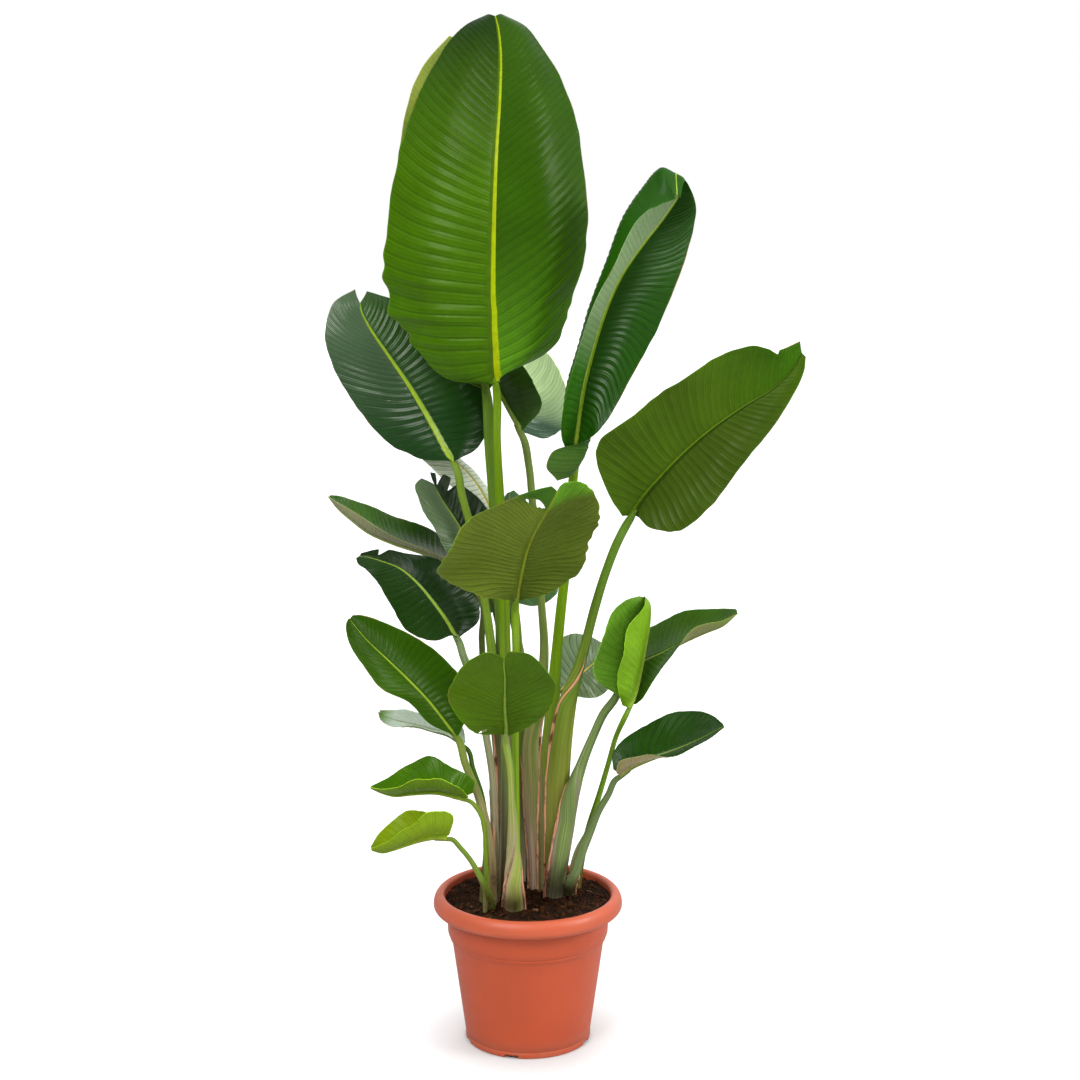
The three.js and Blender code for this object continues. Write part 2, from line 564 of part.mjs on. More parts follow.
/** Places along the blade, with extra rows where an edge is torn. */
function rowPlaces(leaf) {
  const places = [];
  for (let i = 0; i <= leaf.rows; i += 1) places.push(i / leaf.rows);
  for (const [, place, , width] of leaf.cuts ?? []) {
    for (const t of [place - width, place, place + width]) {
      const near = places.findIndex((p) => Math.abs(p - t) < 0.45 / leaf.rows);
      if (near > 0 && near < places.length - 1) places[near] = t;
      else places.push(t);
    }
  }
  return places.sort((a, b) => a - b);
}

function blade(leaf, seed) {
  const lines = bladeLines(leaf);
  const knots = knotsFor(lines, 0.6);
  const random = seeded(seed);
  const waves = [0, 1].map(() => ({ turns: 2.5 + random() * 2, start: random() }));
  const ridges = [];
  const upper = rowPlaces(leaf).map((t, row) => {
    const { halves, sides, rib } = bladeRow(lines, knots, leaf, t);
    const ribWide = mix(RIB_HALF_WIDTH, t);
    ridges.push(mix(RIB_DEPTH, t));
    const edges = halves.map((half, side) => {
      const reach = knotsFor([half], 1);
      const wide = half[0].distanceTo(half[half.length - 1]);
      const cuts = (leaf.cuts ?? []).filter((cut) => cut[0] === side);
      let kept = 1;
      for (const [, place, depth, width] of cuts) {
        kept -= depth * Math.max(0, 1 - Math.abs(t - place) / width);
      }
      const shares = [Math.min(0.3, ribWide / Math.max(wide, 1))];
      for (let j = 1; j <= leaf.cols; j += 1) shares.push(j / leaf.cols);
      return shares.map((share) => {
        const place = curveAt(half, reach, share * kept);
        const { turns, start } = waves[side];
        const ease = Math.min(1, wide / 60) * Math.sin(Math.PI * t);
        const wave = Math.sin(2 * Math.PI * (turns * t + start)) * EDGE_WAVE * share ** 2;
        const pleat = (row % 2 ? PLEAT : -PLEAT) * Math.min(1, share * 3);
        return place.addScaledVector(sides[side], (wave + pleat) * ease);
      });
    });
    return [...edges[0].reverse(), rib, ...edges[1]];
  });
  const faces = gridFaces(upper, leaf.underside ? -1 : 1);
  const lower = upper.map((row, i) => row.map((p, j) => {
    const thick = j === leaf.cols + 1 ? ridges[i] : BLADE_THICK;
    return p.clone().addScaledVector(faces[i][j], -thick);
  }));
  return solidBetween(upper, lower);
}

// ---- stalks ----

/** The neck of the blade: the middle of its rib there, the way it runs and the way it faces. */
function bladeNeck(leaf) {
  const lines = bladeLines(leaf);
  const knots = knotsFor(lines, 0.6);
  const { face, rib } = bladeRow(lines, knots, leaf, 0);
  const along = bladeRow(lines, knots, leaf, 0.04).rib.sub(rib).normalize();
  return { face, along, middle: rib.addScaledVector(face, -RIB_DEPTH[0] / 2) };
}

/** The middle line of a stalk and its width, from a gap under the neck down into the soil. */
function stalkPath(leaf, neck, gap) {
  const points = leaf.stalk.map(([across, down, depth]) => seen(across, down, depth));
  const start = neck.middle.clone().addScaledVector(neck.along, -gap);
  points.splice(0, 1, start, start.clone().addScaledVector(neck.along, -NECK_STRAIGHT));
  const widths = leaf.stalk.map(([, , depth, wide]) => wide * size(depth));
  widths.unshift(widths[0]);
  const foot = seenOnSoil(leaf.foot[0], leaf.foot[1]);
  points.push(foot);
  widths.push(leaf.foot[2] * size(foot.y));
  const lean = foot.clone().sub(points[points.length - 2]).normalize();
  const buried = new THREE.Vector3(lean.x * 0.5, lean.y * 0.5, -1).multiplyScalar(PLANTED);
  points.push(foot.clone().add(buried));
  widths.push(widths[widths.length - 1] * 0.95);
  return { points, widths, knots: knotsFor([points], 1) };
}

/** The rings of a stalk: round with a channel up its face, widening to a flat sheath below. */
function stalkRings(leaf, gap, grow) {
  const neck = bladeNeck(leaf);
  const { points, widths, knots } = stalkPath(leaf, neck, gap);
  const wides = widths.map((w) => new THREE.Vector3(w, 0, 0));
  const rings = [];
  for (let i = 0; i <= STALK_RINGS; i += 1) {
    const t = i / STALK_RINGS;
    const middle = curveAt(points, knots, t);
    const ahead = curveAt(points, knots, Math.min(1, t + 0.01));
    const along = ahead.sub(curveAt(points, knots, Math.max(0, t - 0.01))).normalize();
    if (i === 0) along.copy(neck.along).negate();
    const across = new THREE.Vector3(1, 0, 0).addScaledVector(along, -along.x).normalize();
    const depth = along.clone().cross(across);
    const wide = curveAt(wides, knots, t).x / 2;
    const sheath = Math.min(1, Math.max(0, (wide - 8) / 6));
    const facing = Math.atan2(neck.face.dot(depth), neck.face.dot(across));
    const ring = [];
    for (let j = 0; j < STALK_SIDES; j += 1) {
      const angle = (j / STALK_SIDES) * Math.PI * 2 + facing * (1 - sheath);
      const channel = j === 0 ? 1 - 0.28 * (1 - sheath) : 1;
      const a = wide * channel + grow;
      const b = wide * (0.92 - 0.24 * sheath) * channel + grow;
      const round = Math.sin(angle) * Math.abs(Math.sin(angle)) ** (0.3 * sheath);
      const p = middle.clone().addScaledVector(across, a * Math.cos(angle));
      ring.push(p.addScaledVector(depth, b * round));
    }
    rings.push(ring);
  }
  if (grow > 0) {
    const drop = rings[rings.length - 1][0].clone().sub(rings[rings.length - 2][0]).normalize();
    rings[rings.length - 1].forEach((p) => p.addScaledVector(drop, grow));
  }
  return rings;
}

// ---- pot and soil ----

function potSolid() {
  let pot = turned(POT_WALL, POT_SIDES);
  for (const degrees of SLOT.angles) {
    const turn = new THREE.Matrix4().makeRotationZ(THREE.MathUtils.degToRad(degrees));
    const notch = turn.clone().multiply(new THREE.Matrix4().makeTranslation(92, 0, SLOT.height / 2 - 2));
    const drain = turn.clone().multiply(new THREE.Matrix4().makeTranslation(81, 0, FLOOR / 2));
    pot = pot.subtract(boxSolid([24, SLOT.width, SLOT.height + 4], notch));
    pot = pot.subtract(boxSolid([8, SLOT.width * 0.6, FLOOR + 4], drain));
  }
  return pot;
}

function soilSolid(stalkHoles) {
  const random = seeded(41);
  const ring = (r, height) => {
    const points = [];
    for (let j = 0; j < SOIL_SIDES; j += 1) {
      const angle = (j / SOIL_SIDES) * Math.PI * 2;
      points.push(new THREE.Vector3(r * Math.cos(angle), r * Math.sin(angle), height(r)));
    }
    return points;
  };
  const rings = SOIL_WALL.map(([r, z]) => ring(r, () => z));
  const edge = SOIL_RADIUS;
  for (let i = 0; i < SOIL_RINGS; i += 1) {
    const r = edge * (1 - i / SOIL_RINGS);
    const rough = i === 0 ? 0.4 : 1;
    rings.push(ring(r, () => (
      SOIL_EDGE + SOIL_MOUND * (1 - (r / edge) ** 2) + (random() * 2 - 1) * CRUMB * rough
    )));
  }
  return mainPiece(stalkHoles.reduce((soil, hole) => soil.subtract(hole), solidThroughRings(rings)));
}

// ---- the whole plant ----

function mainPiece(solid) {
  const pieces = solid.simplify(TIDY).decompose();
  return pieces.sort((a, b) => b.volume() - a.volume())[0];
}

function overlaps(a, b) {
  const [p, q] = [a.boundingBox(), b.boundingBox()];
  return [0, 1, 2].every((i) => p.min[i] < q.max[i] && q.min[i] < p.max[i]);
}

function asMesh(name, solid, look) {
  const { vertProperties, triVerts } = solid.getMesh();
  const geometry = new THREE.BufferGeometry();
  geometry.setAttribute('position', new THREE.BufferAttribute(new Float32Array(vertProperties), 3));
  geometry.setIndex(new THREE.BufferAttribute(new Uint32Array(triVerts), 1));
  geometry.computeVertexNormals();
  const mesh = new THREE.Mesh(geometry, new THREE.MeshStandardMaterial({ metalness: 0, ...look }));
  mesh.name = name;
  return mesh;
}

const plant = new THREE.Group();
plant.name = 'potted_bird_of_paradise';
const stalkHoles = [];

Object.entries(LEAVES).forEach(([place, leaf], index) => {
  const leafBlade = blade(leaf, index + 1);
  let gap = NECK_GAP;
  let stalk = solidThroughRings(stalkRings(leaf, gap, 0));
  while (stalk.intersect(leafBlade).volume() > 0) {
    gap += NECK_GAP;
    stalk = solidThroughRings(stalkRings(leaf, gap, 0));
  }
  for (const hole of stalkHoles) {
    if (overlaps(stalk, hole)) stalk = mainPiece(stalk.subtract(hole));
  }
  stalkHoles.push(solidThroughRings(stalkRings(leaf, gap, CLEARANCE)));
  plant.add(asMesh(`blade_${place}`, leafBlade, { color: leaf.green, roughness: 0.42 }));
  plant.add(asMesh(`stalk_${place}`, stalk, { color: STALK_GREEN, roughness: 0.5 }));
});
plant.add(asMesh('soil', soilSolid(stalkHoles), { color: SOIL_BROWN, roughness: 0.95 }));
plant.add(asMesh('pot', potSolid(), { color: POT_COLOUR, roughness: 0.45 }));

export default plant;
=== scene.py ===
# %% [markdown]
# # A potted giant bird of paradise
# The plant has twenty-one leaves. Each is a broad blade on its own long stalk, and the stalks
# widen into flat sheaths that wrap each other where they leave the soil. The pot is moulded
# plastic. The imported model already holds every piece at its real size, so this script only dresses
# it: each plain solid is replaced by a finer mesh of the same form, and each surface gets its own
# finish. Sizes are in millimetres while a form is worked out and in metres once it is a mesh.

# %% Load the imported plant
import math

import bpy
import numpy as np
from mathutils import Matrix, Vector, noise


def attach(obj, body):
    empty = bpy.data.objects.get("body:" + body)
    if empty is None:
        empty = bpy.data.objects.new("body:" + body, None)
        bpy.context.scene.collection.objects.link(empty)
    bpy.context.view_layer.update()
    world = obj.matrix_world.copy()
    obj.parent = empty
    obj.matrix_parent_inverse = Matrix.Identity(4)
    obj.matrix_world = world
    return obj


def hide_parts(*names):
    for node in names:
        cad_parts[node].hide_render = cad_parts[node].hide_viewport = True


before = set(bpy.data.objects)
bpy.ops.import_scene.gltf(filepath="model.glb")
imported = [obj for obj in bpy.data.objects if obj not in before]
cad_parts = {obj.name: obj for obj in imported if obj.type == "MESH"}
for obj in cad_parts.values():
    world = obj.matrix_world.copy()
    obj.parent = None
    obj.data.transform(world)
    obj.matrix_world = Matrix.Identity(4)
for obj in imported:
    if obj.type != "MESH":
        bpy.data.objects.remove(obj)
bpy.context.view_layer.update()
MM = 0.001

# %% [markdown]
# ## Where the leaves are
# A leaf that twists and folds is hard to describe by angles. Its outline is easier to read off a
# front view: the rib and both edges are given at matching stations, each as steps across and down
# a grid of 1080 by 1080 and a depth behind the pot's axis. The eye of that view stands three
# metres in front of the pot. The solids were made from the same stations, so the finer meshes lie
# on them.

# %% The front view
EYE = np.array([18.0, -3000.0, 1300.0])
TILT = math.radians(10.31)
STEPS_TO_EYE = 2117
GRID = 1080
MID_STEP = GRID / 2
SOIL_LINE = 212


def sight_line(across, down):
    """How far a ray through a grid step moves right, back and up."""
    right = (across - MID_STEP) / STEPS_TO_EYE
    up = (MID_STEP - down) / STEPS_TO_EYE
    forward = math.cos(TILT) + up * math.sin(TILT)
    rise = up * math.cos(TILT) - math.sin(TILT)
    return right, forward, rise


def seen(across, down, depth):
    """The point seen at (across, down) at a depth behind the pot's axis."""
    right, forward, rise = sight_line(across, down)
    reach = (depth - EYE[1]) / forward
    return EYE + reach * np.array([right, forward, rise])


def seen_on_soil(across, down):
    """The point on the soil line seen at (across, down)."""
    right, forward, rise = sight_line(across, down)
    reach = (SOIL_LINE - EYE[2]) / rise
    return EYE + reach * np.array([right, forward, rise])


def step_size(depth):
    """The width of one grid step at a depth, in millimetres."""
    return (depth - EYE[1]) / STEPS_TO_EYE


print(f"a step at the pot's axis is {step_size(0):.2f} mm")

# %% [markdown]
# ## The leaves, one by one
# rib, left and right are the stations from neck to tip. Where a side is folded over, left_fold and
# right_fold run along the fold. stalk runs from the blade down, with its width in steps, and foot
# is where it enters the soil.
#
# slot names the kind of finish, and underside is set where a leaf turns its under side to the front.
# face and back colour the upper and the under side, one colour for both halves or one for each.
# face_tip and back_tip colour the stretch between two places along the blade, 0 at the neck and 1 at
# the tip; two more places are for a right half that differs. On several leaves these colours also
# hold painted light: a half or a far end made paler as painted sheen or painted glow, or darker as
# painted shade. ridge and keel colour the rib above and below, one colour or one for each half; on
# tall_front and centre_front the two are the rib's painted lit side and painted shaded side.
# rib_size is its width against the usual, and rib_reach is how many of its half widths the colour
# spreads to, above and below. gloss is the roughness, wax the strength of the shine, and crease how
# much painted shade darkens the creases at the main veins.
#
# pitch is the distance between the main veins in mm, pleat how high a half rises between them,
# groove how deep the rib lies, ruffle how much the edge waves, and swell how far a half bulges, in
# hundredths of its width. lean is how far the veins run towards the tip: at the neck, how much
# more at the tip, and the power in between. scallops are shallow bites, their depth and how far
# along they fade. cuts run in from the edge: side, place, depth and half the width. tears are
# slits: side, place, half the width, and the shares of the half's width where they start and end.
#
# stem is the stalk's colour. sheath has its two colours lower down and the height over the soil,
# in metres, below which the second one shows, and violet is how strong that one is. margins are
# the sheath's dried edges: the angle round the stalk at the top and at the foot, with 0 at the
# right and 90 at the front, the share of the stalk where they start, and their width in mm.

# %% What most leaves share
USUAL = {"rib_size": 1.0, "rib_reach": [0.45, 0.8], "groove": 1.3, "crease": 0.35, "ruffle": 1.2,
         "lean": [[0.1, 0.85, 2.2]] * 2, "scallops": [[0.012, 0.6]] * 2, "cuts": [], "tears": [],
         "underside": False, "swell": 0, "margins": []}
LEAVES = {}


def add_leaf(place, **own):
    """Adds a leaf. What it doesn't set itself is as usual."""
    LEAVES[place] = {**USUAL, **own}
    print(f"{place}: {len(own['rib'])} stations")


print("usual values:", ", ".join(USUAL))

# %% Leaf tall_front
add_leaf(
    "tall_front",
    rib=[[496, 384, -22], [494, 370, -30], [493, 350, -36], [492, 328, -41], [492, 314, -43],
         [491, 300, -44], [491, 285, -45], [492, 225, -44], [495, 155, -34], [499, 95, -8],
         [500, 55, 16], [498, 30, 36], [495, 16, 52]],
    left=[[490, 384, -20], [449, 380, 0], [417, 353, 8], [402, 328, 10], [386, 315, 8],
          [388, 299, 12], [382, 281, 8], [388, 215, 10], [402, 135, 16], [426, 78, 34],
          [448, 43, 48], [467, 24, 57], [488, 14, 62]],
    right=[[501, 370, -22], [533, 361, 2], [557, 343, 14], [570, 312, 20], [574, 297, 24],
           [579, 281, 22], [584, 262, 27], [588, 205, 28], [580, 135, 34], [564, 85, 50],
           [546, 53, 60], [527, 27, 65], [502, 14, 66]],
    stalk=[[496, 387, -22, 8], [497, 440, -20, 8], [500, 500, -14, 9], [503, 570, -8, 11],
           [505, 640, -2, 11], [507, 720, 0, 13], [507, 800, -4, 13]],
    # The right half's paler green near the neck is painted sheen, and the dark far end of the left
    # half (face_tip) is painted shade.
    foot=[505.5, 897, 13], slot="leaf_bright", face=["#3a5f03", "#4a7a12"],
    face_tip=["#143203", "#274902", 0.6, 0.92, 0.12, 0.5], back="#5d8a20",
    # The ridge's dark left and bright right are painted shade and painted light on the groove's two
    # walls.
    ridge=["#44640c", "#a6b808"], rib_size=1.7, rib_reach=[1.0, 1.0], groove=3.2, gloss=0.36,
    wax=0.115, pitch=13.0, pleat=[2.9, 2.2], lean=[[0.02, 0.95, 2.2], [0.4, 0.3, 2.0]],
    scallops=[[0.09, 0.3], [0.05, 0.25]], swell=[9, 12], stem="#6c9006",
    sheath=["#5f6234", "#6e5a48", 0.3], violet=0.6,
)

# %% Leaf tall_back
add_leaf(
    "tall_back",
    rib=[[486, 390, 52], [483, 368, 60], [480, 330, 72], [476, 270, 88], [470, 190, 104],
         [463, 110, 118], [459, 68, 124], [456, 38, 129]],
    left=[[482, 389, 54], [448, 372, 84], [418, 325, 100], [398, 265, 110], [395, 190, 118],
          [407, 105, 128], [424, 64, 132], [449, 36, 134]],
    right=[[490, 389, 54], [515, 352, 79], [540, 300, 100], [550, 240, 110], [548, 165, 118],
           [525, 90, 128], [496, 58, 132], [463, 38, 134]],
    stalk=[[486.5, 393, 52, 10], [489, 440, 50, 10], [493.5, 500, 48, 10], [498, 570, 46, 10],
           [500.5, 640, 46, 10], [500, 720, 46, 11], [501, 800, 42, 12]],
    foot=[501, 889, 15], slot="leaf_olive", face="#3b5922", back="#3a5214",
    back_tip=["#7f8c3a", "#7f8c3a", 0.5, 0.8], ridge="#8d9c4c", gloss=0.36, wax=0.1, pitch=11.0,
    pleat=1.0, underside=True, swell=6, stem="#5f8020", sheath=["#56602a", "#5c4a34", 0.3],
    violet=0.8,
)

# %% Leaf left_high
add_leaf(
    "left_high",
    rib=[[453, 462, 58], [443, 444, 76], [427, 415, 92], [408, 384, 102], [388, 355, 108],
         [371, 330, 112], [362, 313, 116], [360, 303, 120]],
    left=[[449, 461, 62], [420, 459, 88], [385, 441, 104], [350, 398, 110], [330, 360, 112],
          [325, 330, 114], [334, 302, 120], [355, 289, 130]],
    right=[[457, 460, 62], [480, 446, 96], [490, 412, 120], [482, 372, 134], [455, 338, 138],
           [420, 309, 138], [390, 298, 136], [367, 291, 134]],
    stalk=[[453, 465, 56, 8], [462, 495, 50, 8], [470, 525, 46, 8], [477, 560, 44, 9],
           [484.5, 600, 42, 8.5], [491, 645, 36, 9.5], [494.5, 720, 30, 9], [498.8, 780, 24, 8],
           [499.5, 830, 20, 8]],
    foot=[498, 893, 9], slot="leaf_dark", face=["#13380d", "#12340b"],
    # The greyer, paler far part of both halves (face_tip) is painted sheen.
    face_tip=["#42593c", "#2c4c1c", 0.3, 0.75], back="#3c5a26", ridge=["#a3bc2c", "#8fb02a"],
    rib_size=1.2, rib_reach=[0.75, 0.9], gloss=0.3, wax=0.26, pitch=9.5, pleat=2.3,
    scallops=[[0.03, 0.3], [0.03, 0.3]], cuts=[[0, 0.2, 0.05, 0.03]], swell=[5, 8], stem="#75922a",
    sheath=["#5f5030", "#7a5744", 0.34], violet=0.9,
    margins=[[165, 150, 0.62, 3.6], [20, 25, 0.5, 3.2]],
)

# %% Leaf right_high
add_leaf(
    "right_high",
    rib=[[574, 455, 4], [575, 447, 4], [576, 440, 3], [578, 427, 2], [584, 388, 0], [594, 348, 0],
         [606, 311, 0], [622, 276, 0], [645, 243, -4], [666, 216, -8], [679, 194, -16],
         [676, 174, -34], [677, 195, -60]],
    left=[[566, 451, -8], [564, 445, -16], [562, 440, -22], [561, 430, -34], [566, 398, -52],
          [580, 342, -60], [600, 296, -62], [614, 262, -64], [636, 226, -66], [649, 210, -68],
          [660, 205, -68], [669, 202, -66], [675, 199, -62]],
    right=[[557, 481, -34], [546, 467, -42], [552, 452, -42], [583, 442, -34], [608, 419, -24],
           [634, 374, -18], [660, 324, -16], [680, 276, -16], [694, 228, -18], [696, 206, -20],
           [692, 192, -26], [685, 181, -42], [680, 198, -61]],
    left_fold=[[569, 453, -4], [569, 445, -7], [568, 438, -10], [567, 424, -14], [568, 384, -24],
               [579, 342, -30], [592, 302, -34], [606, 262, -36], [625, 214, -34], [644, 185, -32],
               [655, 172, -36], [665, 169, -46], [675, 196, -61]],
    right_fold=[[573, 474, -20], [579, 466, -22], [585, 455, -22], [590, 439, -20],
                [600, 396, -12], [620, 352, -12], [638, 312, -12], [656, 276, -12],
                [674, 240, -14], [685, 212, -16], [688, 194, -22], [682, 177, -38],
                [679, 196, -60]],
    stalk=[[574, 462, 10, 9], [571, 500, 16, 9], [567, 560, 20, 9], [562, 600, 24, 10],
           [557, 650, 28, 11], [553, 700, 30, 14], [549, 760, 30, 18], [547, 820, 28, 21]],
    foot=[547, 890, 22], slot="leaf_dark", face=["#2f6410", "#1b4404"],
    # The pale grey-green over the far part of the folded left half (face_tip) is painted sheen.
    face_tip=["#7c9468", "#1b4404", 0.3, 0.5], back="#1e4c05",
    back_tip=["#3f5f20", "#3f5f20", 0.2, 0.08], ridge=["#b0c84a", "#9cbc34"], rib_reach=[0.7, 1.0],
    gloss=0.3, wax=0.2, pitch=8.0, pleat=[1.3, 1.9], lean=[[0.1, 0.85, 2.2], [-0.1, 0.6, 2.2]],
    stem="#6e9206", violet=0.7, margins=[[160, 146, 0.6, 5.0]],
)

# %% Leaf right_wide
add_leaf(
    "right_wide",
    rib=[[631, 516, -52], [643, 498, -62], [661, 477, -74], [685, 452, -88], [713, 428, -100],
         [745, 406, -110], [774, 388, -116], [793, 369, -120], [802, 353, -122]],
    left=[[622, 516, -54], [607, 492, -66], [596, 446, -84], [637, 412, -104], [676, 382, -118],
          [720, 356, -126], [753, 345, -130], [778, 350, -130], [800, 341, -126]],
    right=[[637, 515, -54], [650, 528, -74], [680, 531, -98], [710, 508, -114], [741, 467, -124],
           [772, 429, -130], [793, 396, -132], [804, 372, -130], [806, 357, -126]],
    stalk=[[630, 519, -54, 9], [618.5, 540, -54, 9], [606.5, 570, -50, 9], [595.5, 605, -44, 9.5],
           [585, 645, -38, 10], [577, 673, -33, 12.5], [568.8, 698, -30, 18.5],
           [561, 739, -27, 24], [557.5, 775, -26, 26], [555, 830, -26, 24]],
    foot=[553, 896, 20], slot="leaf_olive", face="#3a6a12", back=["#405b0b", "#394f0e"],
    # The greener far end of the under side (back_tip) is partly the leaf's own green and partly
    # painted glow of light through it.
    back_tip=["#345c06", "#3d5a0a", 0.6, 0.9], ridge="#43501f", keel=["#5f7e14", "#334a08"],
    rib_size=0.8, gloss=0.34, wax=0.15, crease=0.5, pitch=9.0, pleat=[2.2, 2.4], ruffle=2.2,
    cuts=[[0, 0.9, 0.2, 0.02]], underside=True, swell=8, stem="#5a7c20",
    sheath=["#8a8630", "#8a7a44", 0.3], violet=0.25, margins=[[150, 150, 0.34, 4.6]],
)

# %% Leaf centre_front
add_leaf(
    "centre_front",
    rib=[[516, 601, -96], [518, 586, -124], [522, 567, -160], [527, 548, -198], [535, 530, -238],
         [545, 513, -274], [552, 501, -296], [557, 491, -306]],
    left=[[509, 600, -100], [480, 596, -128], [438, 577, -150], [450, 545, -212], [472, 519, -252],
          [504, 500, -282], [534, 490, -296], [551, 486, -304]],
    right=[[522, 600, -100], [549, 594, -130], [580, 572, -166], [591, 543, -210],
           [600, 518, -246], [597, 496, -270], [582, 482, -286], [565, 482, -300]],
    stalk=[[516, 606, -96, 8], [515.8, 650, -98, 7.5], [515.5, 700, -98, 7], [515.3, 740, -98, 7],
           [515.8, 790, -96, 7], [516, 850, -86, 9]],
    foot=[517, 897, 11], slot="leaf_olive", face="#3f6a1a", back=["#6b7c28", "#5a6c20"],
    # The bright green far end of the right half (back_tip) is painted glow of light through the
    # leaf, and the keel's dark olive left and bright right are painted shade and painted light on
    # its two flanks.
    back_tip=["#3a6418", "#5f9420", 0.78, 0.86], ridge="#a3a949", keel=["#64761e", "#a2b02c"],
    rib_size=0.85, gloss=0.34, wax=0.15, crease=0.9, pitch=7.5, pleat=[2.6, 3.4], ruffle=3.0,
    scallops=[[0.02, 2.0], [0.03, 2.0]], tears=[[0, 0.825, 0.03, 0.05, 0.68]], underside=True,
    swell=8, stem="#7a9c1a", sheath=["#7a9c1a", "#7a9c1a", 0.1], violet=0.5,
)

# %% Leaf low_round
add_leaf(
    "low_round",
    rib=[[506, 735, -134], [506, 724, -156], [505, 708, -184], [505, 692, -210], [505, 677, -232],
         [504, 666, -246], [504, 659, -254]],
    left=[[501, 734, -136], [475, 733, -166], [448, 702, -206], [452, 680, -232], [468, 662, -248],
          [487, 652, -258], [498, 655, -258]],
    right=[[511, 735, -136], [534, 724, -166], [552, 704, -206], [556, 686, -232],
           [546, 668, -248], [529, 654, -258], [510, 651, -258]],
    stalk=[[507.5, 738, -134, 8], [509.7, 765, -128, 7], [511.5, 800, -121, 7.5],
           [512.8, 822, -117, 10.5], [513.2, 850, -112, 14], [513.5, 880, -107, 20]],
    foot=[513.5, 909, 26], slot="leaf_olive", face="#3f6a18", back=["#4b6c05", "#446503"],
    ridge="#8aa838", rib_size=0.6, gloss=0.3, wax=0.16, pitch=8.0, pleat=1.2,
    tears=[[0, 0.165, 0.012, 0.6, 0.98], [0, 0.15, 0.011, 0.25, 0.5]], underside=True, swell=8,
    stem="#6f9a48", sheath=["#9aa848", "#b39a78", 0.16], violet=0.9,
    margins=[[28, 20, 0.36, 4.0], [152, 160, 0.56, 3.6]],
)

# %% Leaf back_folded
add_leaf(
    "back_folded",
    rib=[[523, 431, 66], [514, 416, 86], [503, 396, 96], [492, 372, 104], [483, 345, 110],
         [478, 322, 116]],
    left=[[526, 427, 62], [540, 411, 66], [541, 396, 66], [527, 372, 74], [505, 345, 88],
          [482, 322, 110]],
    right=[[527, 433, 74], [548, 438, 112], [566, 424, 136], [566, 384, 146], [540, 345, 146],
           [490, 318, 124]],
    stalk=[[524, 435, 66, 8], [529, 465, 66, 8], [533, 505, 66, 8], [539, 550, 66, 8],
           [541.5, 600, 64, 8], [544.5, 650, 62, 9.5], [541, 695, 60, 13], [532, 740, 58, 19],
           [533, 780, 56, 21.5], [534.5, 820, 54, 20.5], [536.5, 860, 51, 18.5]],
    foot=[536, 888, 17], slot="leaf_dark", face=["#2e5e04", "#34523c"],
    # The pale far part of the right half (face_tip) is painted sheen.
    face_tip=["#2e5e04", "#c4dca4", 0.28, 0.5], back="#2c4a10", ridge="#7f9440", gloss=0.25,
    wax=0.3, crease=0.1, pitch=8.0, pleat=[0.9, 1.4], swell=[-6, -8], stem="#6d7f3a",
    sheath=["#b0aa6a", "#b3907e", 0.2], violet=1.0,
    margins=[[32, 28, 0.5, 5.0], [172, 164, 0.66, 3.0]],
)

# %% Leaf left_narrow
add_leaf(
    "left_narrow",
    rib=[[478, 591, 74], [455, 567, 72], [425, 552.5, 62], [395, 543, 50], [369, 532, 38],
         [351, 519, 30], [338, 508, 26], [329, 497, 20]],
    left=[[478, 588, 71], [458, 564, 66], [428, 550, 52], [399, 538.5, 36], [375, 526, 18],
          [356, 512, 16], [339, 503, 16], [328, 496, 17]],
    right=[[481, 588, 80], [463, 548, 118], [433, 531, 114], [402, 518, 102], [376, 508, 82],
           [356, 501, 62], [341, 496, 40], [331, 495, 24]],
    stalk=[[478, 594, 74, 7], [482, 640, 78, 7], [485.3, 715, 78, 6.5], [487.5, 745, 77, 6],
           [492.3, 780, 76, 6], [494, 810, 75, 7]],
    foot=[495, 886, 9], slot="leaf_dark", face="#1a3406",
    face_tip=["#356006", "#356006", 0.4, 0.7], back="#7d7f5a", ridge="#8a9a48", gloss=0.24,
    wax=0.36, pitch=7.5, pleat=1.1, swell=[-10, -6], stem="#6f7f3a", violet=0.95,
    margins=[[200, 190, 0.6, 3.0]],
)

# %% Leaf left_shredded
add_leaf(
    "left_shredded",
    rib=[[487, 582, 66], [478, 560, 68], [466, 538, 70], [455, 519, 74], [445, 504, 78],
         [438, 492, 80], [434, 484, 84]],
    left=[[483, 581, 63], [462, 572, 56], [447, 552, 40], [431, 523, 38], [418, 500, 46],
          [415, 485, 58], [421, 478, 74]],
    right=[[491, 580, 69], [497, 548, 80], [492, 518, 82], [478, 497, 86], [462, 485, 90],
           [446, 475, 90], [430, 472, 88]],
    stalk=[[488, 585, 66, 7], [497, 615, 74, 8], [502, 650, 80, 8], [503, 700, 82, 9],
           [504, 780, 80, 11]],
    # The left half's grey-green is painted sheen over its dark green.
    foot=[506, 880, 12], slot="leaf_dark", face=["#566a48", "#12240c"], back="#3c502b",
    ridge="#8fa83c", rib_reach=[0.35, 0.8], gloss=0.3, wax=0.2, pitch=8.5, pleat=[1.0, 1.4],
    cuts=[[1, 0.93, 0.8, 0.03], [1, 0.8, 0.6, 0.035]], swell=[4, 6], stem="#4f6a20", violet=1.0,
)

